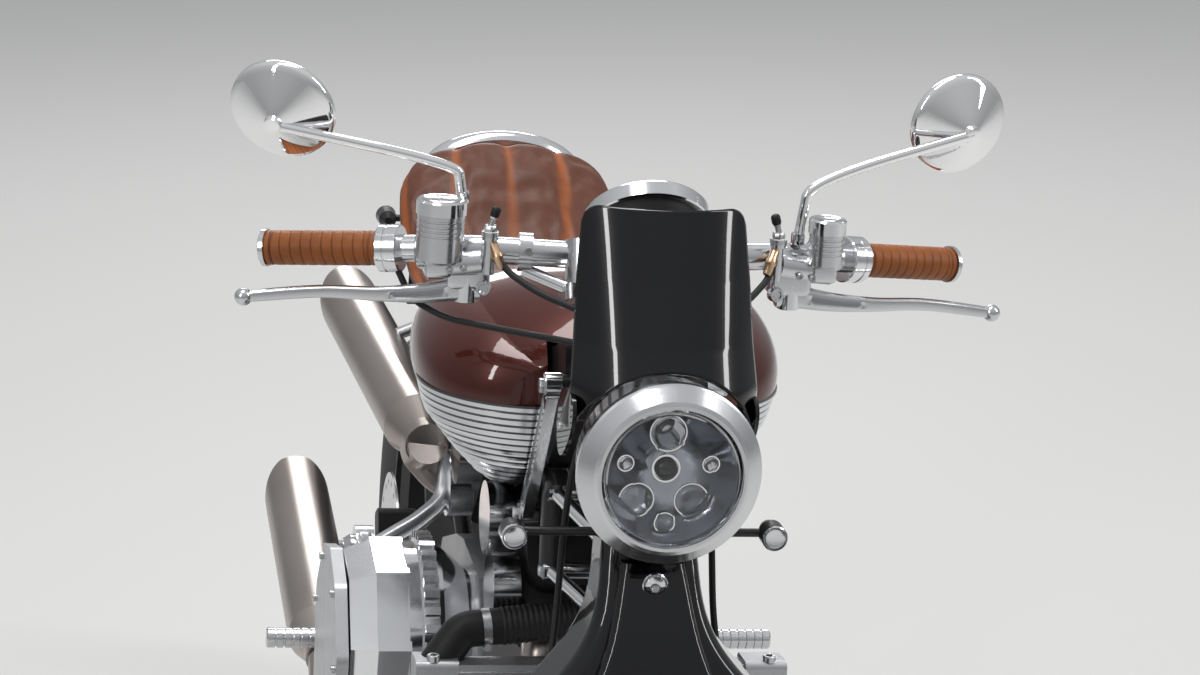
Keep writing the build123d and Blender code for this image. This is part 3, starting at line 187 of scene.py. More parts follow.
def build_world():
    """Light from all round that rises from grey at the horizon to pale overhead."""
    world = bpy.data.worlds.new("studio")
    SCENE.world = world
    world.use_nodes = True
    tree = world.node_tree
    tree.nodes.clear()
    height = node(tree, "SeparateXYZ", {0: node(tree, "TexCoord").outputs["Generated"]}).outputs[2]
    rise = node(tree, "MapRange", {"Value": height, "From Max": 0.8, "To Min": 0.32, "To Max": 0.6})
    end_in(tree, "Background", {0: (0.96, 0.98, 1.0, 1), 1: rise.outputs[0]}, "OutputWorld")


build_floor()
build_world()
# each lamp: its place, its target, its two sizes and its power in watts
area_lamp("ceiling", (-0.2, -0.2, 4.4), (0, 0, 0.6), (1.0, 2.6), 80)
area_lamp("front", (-4.2, -4.2, 4.0), (0, -0.4, 0.8), (0.4, 3.4), 80)
area_lamp("left", (4.6, -1.6, 3.8), (0, 0, 0.7), (0.5, 3.4), 75)
area_lamp("back", (0.6, 5.2, 4.0), (0, 0.5, 0.8), (3.0, 1.0), 80)

# %% [markdown]
# Every finish is built from the same few ideas: soft noise tints the colour, finer noise changes
# how sharply the surface shines, and a shallow bump gives it grain. Metal parts differ mostly in
# the size and the stretch of that noise, so one function makes them all from a short table. The
# noise is read in metres, so a grain of 2 mm is a scale of 500.

# %% A function that wires one surface finish
def surface(name, colour, metal=0.0, rough=0.4, spread=0.15, patch=14, grain=400, vary=0.3,
            depth=0.0001, bump=0.2, stretch=(1, 1, 1), coat=0.0, tint=None, other=None):
    """Colour wanders between two tints over patches, and roughness and bump follow a fine grain."""
    material, tree = node_tree(name)
    place = node(tree, "TexCoord").outputs["Object"]
    stretched = node(tree, "Mapping", {"Vector": place, "Scale": stretch}).outputs[0]
    broad = node(tree, "TexNoise", {"Vector": place, "Scale": patch, "Detail": 3.0}).outputs["Fac"]
    fine = node(tree, "TexNoise", {"Vector": stretched, "Scale": grain, "Detail": 4.0}).outputs["Fac"]
    dark = [max(0, c * (1 - spread)) for c in colour] + [1]
    pale = [min(1, c * (1 + spread)) for c in (tint or colour)] + [1]
    shade = node(tree, "Mix", {0: broad, 6: dark, 7: pale}, data_type="RGBA")
    gloss = node(tree, "MapRange", {"Value": fine, "To Min": rough * (1 - vary),
                                    "To Max": rough * (1 + vary)})
    ridge = node(tree, "Bump", {"Height": fine, "Distance": depth, "Strength": bump})
    end_in(tree, "BsdfPrincipled", {"Base Color": shade.outputs[2], "Roughness": gloss.outputs[0],
                                    "Normal": ridge.outputs[0], "Metallic": metal,
                                    "Coat Weight": coat, "Coat Roughness": 0.03, **(other or {})})
    return material


# %% [markdown]
# The bike is mostly bare aluminium in three finishes. Polished castings mirror the room, machined
# parts carry fine tool marks, and sand-cast covers are grey and grainy. Against them stand piano
# black paint, a deep red-brown tank, heat-browned steel and tan leather.

# %% Finishes of the metal, paint and rubber parts
DEEP = {"Specular IOR Level": 0.1, "Coat IOR": 1.42}
DULL = {"Specular IOR Level": 0.3}
# values: name, colour, metal, roughness, spread between the tints, scales of patches and grain,
# how far roughness varies, bump depth and strength, stretch of the grain, coat, second tint
FINISHES = {
    "polished_aluminium": surface("polished aluminium", (0.76, 0.765, 0.78), 1, 0.13, 0.05, 20, 900, 0.25,
                                  0.00002, 0.1),
    "satin_aluminium": surface("machined aluminium", (0.64, 0.645, 0.66), 1, 0.22, 0.06, 18, 700, 0.25,
                               0.00003, 0.2, (0.12, 1, 1)),
    "cast_aluminium": surface("sand-cast aluminium", (0.50, 0.505, 0.52), 1, 0.42, 0.14, 30, 1100, 0.3,
                              0.0002, 0.5),
    "chrome": surface("chrome plate", (0.92, 0.92, 0.925), 1, 0.035, 0.02, 20, 300, 0.4, 0.00001, 0.05),
    "steel": surface("plain steel", (0.52, 0.52, 0.53), 1, 0.3, 0.12, 40, 700, 0.35, 0.00008, 0.25),
    "disc_steel": surface("ground steel", (0.6, 0.6, 0.61), 1, 0.28, 0.08, 30, 900, 0.4, 0.00006, 0.3),
    "exhaust_metal": surface("heat-browned steel", (0.34, 0.29, 0.26), 1, 0.3, 0.10, 7, 1500, 0.12,
                             0.00001, 0.1, (1, 0.06, 1), 0.0, (0.46, 0.42, 0.40)),
    "black_gloss": surface("piano black paint", (0.0015, 0.0015, 0.0025), 0, 0.2, 0.2, 9, 120, 0.2,
                           0.000002, 0.02, (1, 1, 1), 1.0, other=DEEP),
    "black_frame": surface("black frame paint", (0.012, 0.012, 0.013), 0, 0.32, 0.2, 20, 900, 0.3,
                           0.00005, 0.2, (1, 1, 1), 0.3, other=DULL),
    "engine_black": surface("black crackle paint", (0.010, 0.010, 0.011), 0, 0.5, 0.3, 40, 1300, 0.25,
                            0.0002, 0.5, other=DULL),
    "wheel_metal": surface("satin black wheels", (0.03, 0.03, 0.032), 0.4, 0.35, 0.15, 20, 900, 0.3,
                           0.00006, 0.3, (1, 1, 1), 0.3),
    "tank_paint": surface("red-brown metallic paint", (0.060, 0.009, 0.005), 0.25, 0.3, 0.25, 5, 2600, 0.2,
                          0.000002, 0.02, (1, 1, 1), 1.0, (0.085, 0.015, 0.009), DEEP),
    "black_rubber": surface("black rubber", (0.009, 0.009, 0.009), 0, 0.5, 0.25, 30, 1200, 0.3,
                            0.0001, 0.4, other=DULL),
    "lamp_inner": surface("lamp bowl", (0.34, 0.36, 0.40), 1, 0.16, 0.1, 40, 500, 0.2, 0.00001, 0.1),
    "mirror_glass": surface("mirror glass", (0.9, 0.9, 0.92), 1, 0.015, 0.01, 12, 60, 0.3, 0.000005, 0.01),
    "clear_lens": surface("clear lens", (0.98, 0.985, 0.99), 0, 0.02, 0.01, 12, 60, 0.3, 0.000005, 0.01,
                          other={"Transmission Weight": 1.0, "IOR": 1.42}),
    "red_lens": surface("red lens", (0.45, 0.012, 0.01), 0, 0.12, 0.2, 40, 300, 0.2, 0.00005, 0.1,
                        other={"Transmission Weight": 0.5, "IOR": 1.45}),
}
print(len(FINISHES), "finishes")

# %% [markdown]
# Tyres need a tread. The pattern is cut in the shader as a bump, because grooves a few
# millimetres wide would take a very fine mesh all round the wheel. The shader turns a place into
# the wheel's own angle and its distance from the middle line, and a groove shows where angle
# plus slant is near a whole number.

# %% Tyre rubber with slanted grooves
def upright_place(tree, axle):
    """Object coordinates along the upright bike's directions, from an axle."""
    return node(tree, "Mapping", {"Vector": node(tree, "TexCoord").outputs["Object"],
                                  "Location": axle.tolist(), "Rotation": (0, math.asin(-ACROSS[2]), 0)},
                vector_type="TEXTURE").outputs[0]


def maths(tree, operation, *values):
    """The result of one Math node."""
    return node(tree, "Math", dict(enumerate(values)), operation=operation).outputs[0]


def ramp(tree, value, start, end):
    """Rises from 0 where the value is at the start to 1 where it is at the end."""
    return node(tree, "MapRange", {"Value": value, "From Min": start, "From Max": end}).outputs[0]


def tyre_rubber(name, axle, grooves):
    """A groove lies where the fraction of angle times grooves plus slant times side is small."""
    material, tree = node_tree(name)
    local = upright_place(tree, axle)
    parts = node(tree, "SeparateXYZ", {0: local}).outputs
    side = maths(tree, "ABSOLUTE", parts[0])
    angle = maths(tree, "ARCTAN2", parts[2], parts[1])
    slant = maths(tree, "MULTIPLY", side, -26.0)
    turns = maths(tree, "MULTIPLY_ADD", angle, grooves / (2 * math.pi), slant)
    wall = ramp(tree, maths(tree, "FRACT", turns), 0.0, 0.16)
    within = maths(tree, "MULTIPLY", ramp(tree, side, 0.009, 0.012), ramp(tree, side, 0.052, 0.049))
    cut = maths(tree, "MULTIPLY", maths(tree, "SUBTRACT", 1.0, wall), within)
    grain = node(tree, "TexNoise", {"Vector": local, "Scale": 900.0, "Detail": 4.0}).outputs["Fac"]
    height = maths(tree, "MULTIPLY_ADD", grain, 0.06, maths(tree, "SUBTRACT", 1.0, cut))
    ridge = node(tree, "Bump", {"Height": height, "Distance": 0.003, "Strength": 0.9})
    # the grooves' darker rubber colour is painted shade, as the grooves are only a bump
    shade = node(tree, "Mix", {0: cut, 6: (0.024, 0.024, 0.025, 1), 7: (0.008, 0.008, 0.008, 1)},
                 data_type="RGBA")
    end_in(tree, "BsdfPrincipled", {"Base Color": shade.outputs[2], "Roughness": 0.62,
                                    "Normal": ridge.outputs[0]})
    return material


REAR_AXLE = np.array(JOINTS["rear_wheel_spin"]["pos_m"])
TYRES = {"front_tyre": tyre_rubber("front tyre rubber", AXLE, 34),
         "rear_tyre": tyre_rubber("rear tyre rubber", REAR_AXLE, 36)}

# %% [markdown]
# The lower tank and the headlight bowl have cut ribs. Their grooves are painted nearly black as painted shade, so
# a finish that knows the ribs' pitch darkens them. It reads the height above the ground of the upright bike and
# finds how far each point lies from the middle of the nearest rib.

# %% Ribbed aluminium
RIB_PITCH, RIB_SHARE = 0.008, 0.60


def ribbed_metal(name, colour, start, rough):
    """Painted shade: dark where the fraction of height over pitch lies beyond the rib's share of it."""
    material, tree = node_tree(name)
    local = upright_place(tree, AXLE)
    height = node(tree, "SeparateXYZ", {0: local}).outputs[2]
    turns = maths(tree, "MULTIPLY_ADD", height, 1 / RIB_PITCH, (AXLE_HEIGHT / 1000 - start) / RIB_PITCH)
    part = maths(tree, "FRACT", turns)
    groove = maths(tree, "MULTIPLY", ramp(tree, part, RIB_SHARE - 0.03, RIB_SHARE + 0.06),
                   ramp(tree, part, 0.99, 0.95))
    fine = node(tree, "TexNoise", {"Vector": local, "Scale": 900.0, "Detail": 3.0}).outputs["Fac"]
    gloss = node(tree, "MapRange", {"Value": fine, "To Min": rough * 0.85, "To Max": rough * 1.15})
    # the near-black groove colour is painted shade
    shade = node(tree, "Mix", {0: groove, 6: [*colour, 1], 7: (0.09, 0.09, 0.095, 1)}, data_type="RGBA")
    end_in(tree, "BsdfPrincipled", {"Base Color": shade.outputs[2], "Metallic": 1.0,
                                    "Roughness": gloss.outputs[0]})
    return material


RIBBED = {"tank_lower": ribbed_metal("ribbed tank metal", (0.74, 0.75, 0.77), 0.868, 0.2),
          "headlight_shell": ribbed_metal("ribbed bowl metal", (0.66, 0.67, 0.69), 0.8886, 0.24)}

# %% [markdown]
# The record already says which finish each CAD piece has, as a slot name, so the finishes are
# handed out by that name. A piece with a finish of its own is put right afterwards.

# %% Hand the finishes to the CAD pieces
SLOT_OF = {part["node"]: part["material_slot"] for part in frame["record"]["subparts"]}
BODY_OF = {name: body for body, names in frame["record"]["behaviour"]["bodies"].items() for name in names}


def dress(name, material):
    """Gives every material slot of a CAD piece one finish."""
    mesh = NODES[name].data
    mesh.materials.clear()
    mesh.materials.append(material)


for name, slot in SLOT_OF.items():
    if slot in FINISHES:
        dress(name, FINISHES[slot])
for name, material in (TYRES | RIBBED).items():
    dress(name, material)
print("without a finish yet:", [name for name, slot in SLOT_OF.items()
                                if slot not in FINISHES and name not in TYRES])

# %% [markdown]
# New pieces start as arrays. A grid of points, rows by columns, needs faces that join each point
# to its neighbours, and index arithmetic on whole arrays gives them all at once.

# %% From arrays to pieces
def grid_faces(rows, columns, closed=True):
    """Faces of a grid stored row by row, its columns closed into rings if asked."""
    last = columns if closed else columns - 1
    row, column = np.meshgrid(np.arange(rows - 1), np.arange(last), indexing="ij")
    beside = (column + 1) % columns
    corners = [row * columns + column, row * columns + beside,
               (row + 1) * columns + beside, (row + 1) * columns + column]
    return np.stack(corners, axis=-1).reshape(-1, 4).tolist()


def capped(rows, columns):
    """Faces of stacked rings with a flat cap on the first and on the last."""
    first = list(range(columns))[::-1]
    last = list(range((rows - 1) * columns, rows * columns))
    return grid_faces(rows, columns) + [first, last]


def joined(parts):
    """Several (points, faces) pairs as one, each part's faces counted on from the last."""
    points, faces, start = [], [], 0
    for some_points, some_faces in parts:
        points.append(some_points)
        faces += [[corner + start for corner in face] for face in some_faces]
        start += len(some_points)
    return np.concatenate(points), faces


def make_piece(name, shape, slot, body, material=None):
    """A mesh object from parked points and faces, smooth except at edges over 35 degrees."""
    mesh = bpy.data.meshes.new(name)
    points, faces = shape
    mesh.from_pydata(np.asarray(points).tolist(), [], faces)
    mesh.polygons.foreach_set("use_smooth", np.ones(len(mesh.polygons), bool))
    mesh.set_sharp_from_angle(angle=math.radians(35))
    mesh.materials.append(material or FINISHES[slot])
    piece = bpy.data.objects.new(name, mesh)
    SCENE.collection.objects.link(piece)
    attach(piece, body)
    print(name, len(mesh.polygons), "faces")
    return piece


# %% [markdown]
# The seat is brown leather over foam, with flat tan strips sunk between its puffed panels. The pad
# is a closed skin: each level along the bike is a rounded outline, wide and low on the seat and
# tall on the hump. The strips run along the bike, so the skin is pulled in where a point lies
# near one. Then the panels are blown up as cloth, while the strips and the underside are held.

# %% Seat pad: the skin and its strips
# columns: place along the bike, half width, top, bottom, how boxy its outline is
SEAT_ROWS = np.array([
    [858, 60, 876, 852, 2.6], [880, 72, 872, 832, 2.8], [960, 101, 829, 800, 3.0], [1030, 118, 829, 804, 3.0],
    [1095, 133, 838, 808, 3.0], [1150, 139, 858, 814, 2.7], [1185, 142, 884, 824, 2.4],
    [1215, 143, 917, 834, 2.25], [1245, 142, 947, 844, 2.15], [1272, 138, 964, 854, 2.1],
    [1290, 130, 970, 861, 2.1], [1301, 116, 964, 870, 2.1]])
STRIP_PLACES = np.array([-132.0, -66.0, 0.0, 66.0, 132.0])
STRIP_HALF = 6.5
STRIPS_AT_HALF = 134.0


def smooth_rows(table, count):
    """Resamples a table along its first column, each other column by a soft cubic between rows."""
    at = np.linspace(table[0, 0], table[-1, 0], count)
    slopes = np.gradient(table, table[:, 0], axis=0)
    low = np.clip(np.searchsorted(table[:, 0], at, side="right") - 1, 0, len(table) - 2)
    gap = (table[low + 1, 0] - table[low, 0])[:, None]
    t = (at[:, None] - table[low, :1]) / gap
    return (table[low] * (2 * t**3 - 3 * t**2 + 1) + table[low + 1] * (3 * t**2 - 2 * t**3)
            + slopes[low] * gap * (t**3 - 2 * t**2 + t) + slopes[low + 1] * gap * (t**3 - t**2))


def bend(value, power):
    """Raises a value's size to a power and keeps its sign."""
    return np.sign(value) * np.abs(value) ** power


def outlines(table, rows, columns):
    """Superellipses across the bike: cosine and sine raised to two over the table's power."""
    y, half, top, bottom, power = smooth_rows(table, rows).T[:, :, None]
    turn_by = np.linspace(0, 2 * math.pi, columns, endpoint=False)[None, :]
    c, s = np.cos(turn_by), np.sin(turn_by)
    x = half * bend(c, 2 / power)
    z = (top + bottom) / 2 + (top - bottom) / 2 * bend(s, 2 / power)
    return x, np.ones_like(x) * y, z, half, s


def seat_skin(rows, columns):
    """The seat's outlines, drawn in at the strips and puffed between them."""
    x, lengthways, z, half, s = outlines(SEAT_ROWS, rows, columns)
    away = np.abs(x[..., None] - STRIP_PLACES * half[..., None] / STRIPS_AT_HALF).min(axis=-1)
    strip = np.clip((STRIP_HALF + 1.5 - away) / 2.5, 0, 1) * (s > 0.1)
    puff = 3.0 * np.sqrt(np.clip((away - STRIP_HALF) / 26, 0, 1)) * np.clip(s * 4, 0, 1)
    z = z + puff - 1.5 * strip
    return np.stack([x, lengthways, z], axis=-1).reshape(-1, 3), strip.reshape(-1)


def leather(name, colour, strip_colour, grain):
    """Leather: rounded cells of grain as bump, uneven dye, and a second dye where the strip is."""
    material, tree = node_tree(name)
    place = node(tree, "TexCoord").outputs["Object"]
    strip = node(tree, "Attribute", attribute_name="strip").outputs["Fac"]
    dye = node(tree, "TexNoise", {"Vector": place, "Scale": 34.0, "Detail": 6.0}).outputs["Fac"]
    cells = node(tree, "TexVoronoi", {"Vector": place, "Scale": grain}, feature="SMOOTH_F1").outputs[0]
    mottle = ramp(tree, dye, 0.3, 0.7)
    dark, pale = [c * 0.86 for c in colour] + [1], [min(1, c * 1.14) for c in colour] + [1]
    base = node(tree, "Mix", {0: mottle, 6: dark, 7: pale}, data_type="RGBA").outputs[2]
    worn = [min(1, c * 1.25) for c in strip_colour] + [1]
    second = node(tree, "Mix", {0: mottle, 6: [c * 0.8 for c in strip_colour] + [1], 7: worn},
                  data_type="RGBA").outputs[2]
    shade = node(tree, "Mix", {0: strip, 6: base, 7: second}, data_type="RGBA").outputs[2]
    gloss = node(tree, "MapRange", {"Value": cells, "To Min": 0.36, "To Max": 0.58}).outputs[0]
    ridge = node(tree, "Bump", {"Height": cells, "Distance": 0.0004, "Strength": 0.35}, invert=True)
    end_in(tree, "BsdfPrincipled", {"Base Color": shade, "Roughness": gloss,
                                    "Specular IOR Level": 0.3, "Normal": ridge.outputs[0]})
    return material


SEAT_LEATHER = leather("brown seat leather", (0.110, 0.037, 0.020), (0.25, 0.068, 0.018), 620.0)
SEAT_RINGS, SEAT_SIDES = 84, 132
seat_points, seat_strip = seat_skin(SEAT_RINGS, SEAT_SIDES)
seat_cover = make_piece("seat_cover", (parked(seat_points), capped(SEAT_RINGS, SEAT_SIDES)), "seat_leather",
                        "chassis", SEAT_LEATHER)
seat_cover.data.attributes.new("strip", "FLOAT", "POINT").data.foreach_set("value", seat_strip)


STUFFING_FRAMES = 20


def stuff(piece, held, cap):
    """Blows a closed skin up as cloth for some frames, its held points still, and caps the movement."""
    group = piece.vertex_groups.new(name="held")
    group.add(np.flatnonzero(held).tolist(), 1.0, "REPLACE")
    cloth = piece.modifiers.new("stuffing", "CLOTH")
    cloth.settings.vertex_group_mass = "held"
    cloth.settings.use_pressure = True
    cloth.settings.uniform_pressure_force = 4.0
    cloth.settings.effector_weights.gravity = 0.0
    cloth.settings.shrink_min = -0.012
    cloth.collision_settings.use_collision = False
    for number in range(STUFFING_FRAMES):
        SCENE.frame_set(number + 1)
    puffed = piece.evaluated_get(bpy.context.evaluated_depsgraph_get()).to_mesh()
    start, end = np.empty(len(held) * 3), np.empty(len(held) * 3)
    piece.data.vertices.foreach_get("co", start)
    puffed.vertices.foreach_get("co", end)
    move = (end - start).reshape(-1, 3)
    size = np.linalg.norm(move, axis=1, keepdims=True)
    move *= np.minimum(1, cap / np.maximum(size, 1e-9))
    piece.modifiers.remove(cloth)
    piece.vertex_groups.remove(group)
    piece.data.vertices.foreach_set("co", start + move.reshape(-1))
    piece.data.update()
    SCENE.frame_set(1)
    print(piece.name, "puffed by up to", round(float(size.max()) * 1000, 1), "mm, kept within", cap * 1000)


seat_middle = np.interp(seat_points[:, 1], SEAT_ROWS[:, 0], SEAT_ROWS[:, 2:4].mean(axis=1))
seat_below = seat_points[:, 2] < seat_middle + 2
seat_ends = (seat_points[:, 1] < 862) | (seat_points[:, 1] > 1297)
stuff(seat_cover, (seat_strip > 0.3) | seat_below | seat_ends, 0.005)
softened = seat_cover.modifiers.new("softened", "SUBSURF")
softened.levels = softened.render_levels = 1
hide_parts("seat_pad")

# %% [markdown]
# Behind the hump sits a bare metal tail with the same rounded outline, so the pad's outlines serve
# for it too.

# %% Metal tail
# columns: place along the bike, half width, top, bottom, how boxy its outline is
TAIL_ROWS = np.array([[1303, 98, 974, 872, 2.0], [1306, 102, 978, 869, 2.0], [1340, 100, 975, 872, 2.1],
                      [1380, 92, 964, 880, 2.2], [1415, 78, 952, 888, 2.4], [1436, 64, 940, 896, 2.5],
                      [1440, 58, 935, 901, 2.5]])
TAIL_RINGS, TAIL_SIDES = 60, 96
tail_points = np.stack(outlines(TAIL_ROWS, TAIL_RINGS, TAIL_SIDES)[:3], axis=-1).reshape(-1, 3)
tail_shell = make_piece("tail_shell", (parked(tail_points), capped(TAIL_RINGS, TAIL_SIDES)),
                        "polished_aluminium", "chassis")
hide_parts("tail_cowl")

# %% [markdown]
# The grips are tan leather wound round the bar as a ribbon. A ribbon's edge comes round once for
# each width along the grip, so the seam is where distance over width plus turn is a whole number.
# There the radius dips a little, and the same number darkens the dye.

# %% Wound leather grips
BAR_END = np.array([370.0, 484.0, 1017.0])
BAR_KNEE = np.array([165.0, 397.0, 1042.0])
GRIP_LENGTH, GRIP_RADIUS, RIBBON = 122.0, 18.0, 11.5
GRIP_RINGS, GRIP_SIDES = 240, 56


def axis_frame(way):
    """Two unit directions square to a way and to each other."""
    way = np.asarray(way, float) / np.linalg.norm(way)
    guide = np.array([0.0, 0.0, 1.0]) if abs(way[2]) < 0.9 else np.array([1.0, 0.0, 0.0])
    first = np.cross(guide, way)
    first /= np.linalg.norm(first)
    return way, first, np.cross(way, first)


def grip_skin(side):
    """Radius dips at each seam of the ribbon and where the grip ends, over angle and distance."""
    end, knee = BAR_END * [side, 1, 1], BAR_KNEE * [side, 1, 1]
    way, first, second = axis_frame(end - knee)
    along, angle = np.meshgrid(np.linspace(0, GRIP_LENGTH, GRIP_RINGS),
                               np.linspace(0, 2 * math.pi, GRIP_SIDES, endpoint=False), indexing="ij")
    phase = along / RIBBON + side * angle / (2 * math.pi)
    from_seam = np.abs(phase - np.round(phase)) * RIBBON
    seam = np.clip(1 - from_seam / 0.9, 0, 1)
    crown = 0.35 * np.clip(from_seam / (RIBBON / 2), 0, 1) ** 0.5
    from_end = np.minimum(along, GRIP_LENGTH - along)
    hem = 0.7 * np.clip(1 - from_end / 2.0, 0, 1) ** 2
    band = 0.35 * (np.abs(from_end - 7) < 1.2)
    radius = GRIP_RADIUS - 0.55 * seam + crown - hem - band
    ring = np.cos(angle)[..., None] * first + np.sin(angle)[..., None] * second
    points = end - way * (GRIP_LENGTH - along)[..., None] + radius[..., None] * ring
    return points.reshape(-1, 3), np.clip(seam + 2 * band, 0, 1).reshape(-1)


def grip_wraps():
    """Both grips as one piece with their seam marked for the dye."""
    parts, seams = [], []
    for side in (-1, 1):
        points, seam = grip_skin(side)
        parts.append((points, capped(GRIP_RINGS, GRIP_SIDES)))
        seams.append(seam)
    points, faces = joined(parts)
    wraps = make_piece("grip_wraps", (parked(points), faces), "grip_leather", "steering", GRIP_LEATHER)
    wraps.data.attributes.new("strip", "FLOAT", "POINT").data.foreach_set("value", np.concatenate(seams))
    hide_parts("grips")


GRIP_LEATHER = leather("tan grip leather", (0.27, 0.080, 0.017), (0.12, 0.030, 0.008), 900.0)
grip_wraps()

# %% [markdown]
# Screws, nuts and lamp lenses are all turned shapes: a short profile of heights and radii carried round a line. A
# third number says how far each ring is pushed out into a hexagon, which turns the same function into a nut, or
# into the socket of a cap screw. Screws, nuts and the small lenses are dropped onto their CAD piece by a ray, so
# that each sits on the real surface.

# %% Turned shapes set on a surface
def lathe(rows, place, way, sides=24):
    """Rings of (height, radius, share of hexagon, if any) in millimetres round a parked line."""
    way, first, second = axis_frame(way)
    height, radius, share = np.array([(*row, 0)[:3] for row in rows], float).T[:, :, None]
    angle = np.linspace(0, 2 * math.pi, sides, endpoint=False)
    hexagon = math.cos(math.pi / 6) / np.cos(angle % (math.pi / 3) - math.pi / 6)
    reach = radius * (1 - share + share * hexagon)
    ring = np.cos(angle)[:, None] * first + np.sin(angle)[:, None] * second
    points = place + (height[..., None] * way + reach[..., None] * ring) / 1000
    return points.reshape(-1, 3), capped(len(rows), sides)


TREES = {}
RAY_REACH = 0.07


def on_surface(name, place, way):
    """Where a line in against a way, through a place, meets a CAD piece, or else the place itself."""
    if name not in TREES:
        shape = bmesh.new()
        shape.from_mesh(NODES[name].data)
        TREES[name] = BVHTree.FromBMesh(shape)
        shape.free()
    out = parked_way(way)
    spot = TREES[name].ray_cast((parked(place) + out * RAY_REACH).tolist(), (-out).tolist())[0]
    return (parked(place) if spot is None else np.array(spot)), out


def cap_screw(radius, height):
    """Round head with a hexagon socket."""
    return [(-1, radius, 0), (0.85 * height, radius, 0), (height, 0.88 * radius, 0),
            (height, 0.62 * radius, 1), (0.35 * height, 0.58 * radius, 1)]


def hex_head(radius, height):
    """Six-sided head on a round washer."""
    return [(-1, 1.25 * radius, 0), (1, 1.25 * radius, 0), (1, radius, 1), (0.85 * height, radius, 1),
            (height, 0.84 * radius, 0)]


def button(radius, height):
    """Low dome with a hexagon socket."""
    return [(-1, radius, 0), (0.3 * height, radius, 0), (0.75 * height, 0.8 * radius, 0),
            (height, 0.55 * radius, 0), (height, 0.42 * radius, 1), (0.4 * height, 0.4 * radius, 1)]


HEADS = {"cap": cap_screw, "hex": hex_head, "button": button}

# %% [markdown]
# The hand controls are machined sets of a clamp ring, a master cylinder, a grooved reservoir with a
# polished cap and a forged lever. Round parts are turned, cast blocks are superellipsoids, and a
# lever is a rounded section carried along a curve, deep at the pivot and slim at its ball end, with
# a slot pressed into both faces.

# %% Hand controls
def soft_block(low, high, power=0.3, rows=14, columns=28):
    """Superellipsoid in a box: cosines and sines raised to a small power, so corners stay round."""
    low, high = np.minimum(low, high), np.maximum(low, high)
    up, around = np.meshgrid(np.linspace(-1.5, 1.5, rows),
                             np.linspace(0, 2 * math.pi, columns, endpoint=False), indexing="ij")
    level = bend(np.cos(up), power)
    unit = np.stack([level * bend(np.cos(around), power), level * bend(np.sin(around), power),
                     bend(np.sin(up), power)], axis=-1)
    points = (low + high) / 2 + unit * (high - low) / 2
    return parked(points.reshape(-1, 3)), capped(rows, columns)


def rounded_route(route, rounds=4):
    """Cuts a route's corners again and again, its two ends kept."""
    route = np.array(route, float)
    for _ in range(rounds):
        cut = np.stack([0.75 * route[:-1] + 0.25 * route[1:], 0.25 * route[:-1] + 0.75 * route[1:]], axis=1)
        route = np.concatenate([route[:1], cut.reshape(-1, 3), route[-1:]])
    return route


def tube(route, radius, sides=20):
    """A ring square to the route at each of its points."""
    route = rounded_route(route)
    ways = np.gradient(route, axis=0)
    ways /= np.linalg.norm(ways, axis=1, keepdims=True)
    first = np.cross(ways, [0.0, 1.0, 0.0])
    first /= np.linalg.norm(first, axis=1, keepdims=True)
    second = np.cross(ways, first)
    angle = np.linspace(0, 2 * math.pi, sides, endpoint=False)[None, :, None]
    points = route[:, None] + radius * (np.cos(angle) * first[:, None] + np.sin(angle) * second[:, None])
    return parked(points.reshape(-1, 3)), capped(len(route), sides)


BLADE_SIDES = 40
# columns: place outwards, y, z, height, thickness
LEVER_ROWS = np.array([[158, 392, 1001, 24, 20], [180, 391, 1000, 24, 18], [215, 388, 996, 20, 15],
                       [262, 388, 994, 15, 13], [320, 397, 993, 12.5, 13], [372, 403, 987, 12, 12.5],
                       [400, 404, 983.5, 11, 12]])


def section(height, thickness):
    """Superellipse outlines: how far up and how far out each corner lies."""
    angle = np.linspace(0, 2 * math.pi, BLADE_SIDES, endpoint=False)[None, :]
    return bend(np.sin(angle), 0.5) * height / 2, bend(np.cos(angle), 0.6) * thickness / 2


def lever_blade(side):
    """Sections along the lever, with a slot 64 mm long pressed into both faces."""
    rows = smooth_rows(LEVER_ROWS, 90)
    along, y, z, height, thickness = rows.T[:, :, None]
    up, out = section(height, thickness)
    slot = np.clip((32 - np.abs(along - 222)) / 6, 0, 1) * np.clip((3.2 - np.abs(up)) / 1.2, 0, 1)
    points = np.stack([side * (along + 0 * up), y + out * (1 - 0.55 * slot), z + up], axis=-1)
    faces = capped(len(rows), BLADE_SIDES)
    return parked(points.reshape(-1, 3)), faces if side < 0 else [face[::-1] for face in faces]


def cast_bar(rows):
    """Sections square to a curve of (x, y, z, height, thickness), slotted but for 14 mm at each end."""
    rows = np.array(rows, float)
    travel = np.concatenate([[0], np.cumsum(np.linalg.norm(np.diff(rows[:, :3], axis=0), axis=1))])
    rows = smooth_rows(np.column_stack([travel, rows]), 80)
    along, route = rows[:, 0:1], rows[:, 1:4]
    ways = np.gradient(route, axis=0)
    ways /= np.linalg.norm(ways, axis=1, keepdims=True)
    facing = np.cross(ways, [0.0, 0.0, 1.0])
    facing /= np.linalg.norm(facing, axis=1, keepdims=True)
    rise = np.cross(facing, ways)
    up, out = section(rows[:, 4:5], rows[:, 5:6])
    from_end = np.minimum(along, travel[-1] - along)
    out = out * (1 - 0.55 * np.clip((from_end - 14) / 6, 0, 1) * np.clip((3.2 - np.abs(up)) / 1.4, 0, 1))
    points = route[:, None] + out[..., None] * facing[:, None] + up[..., None] * rise[:, None]
    return parked(points.reshape(-1, 3)), capped(len(rows), BLADE_SIDES)


def reservoir(radius, height):
    """Rows of a cup with four grooves under a polished lid."""
    rows = [(0, radius - 5), (3, radius - 1.5)]
    for number in range(4):
        low = height - 38 + 5.2 * number
        rows += [(low, radius - 1.5), (low + 0.7, radius - 2.6), (low + 2.0, radius - 2.6),
                 (low + 2.7, radius - 1.5)]
    return rows + [(height - 16, radius - 1.5)]


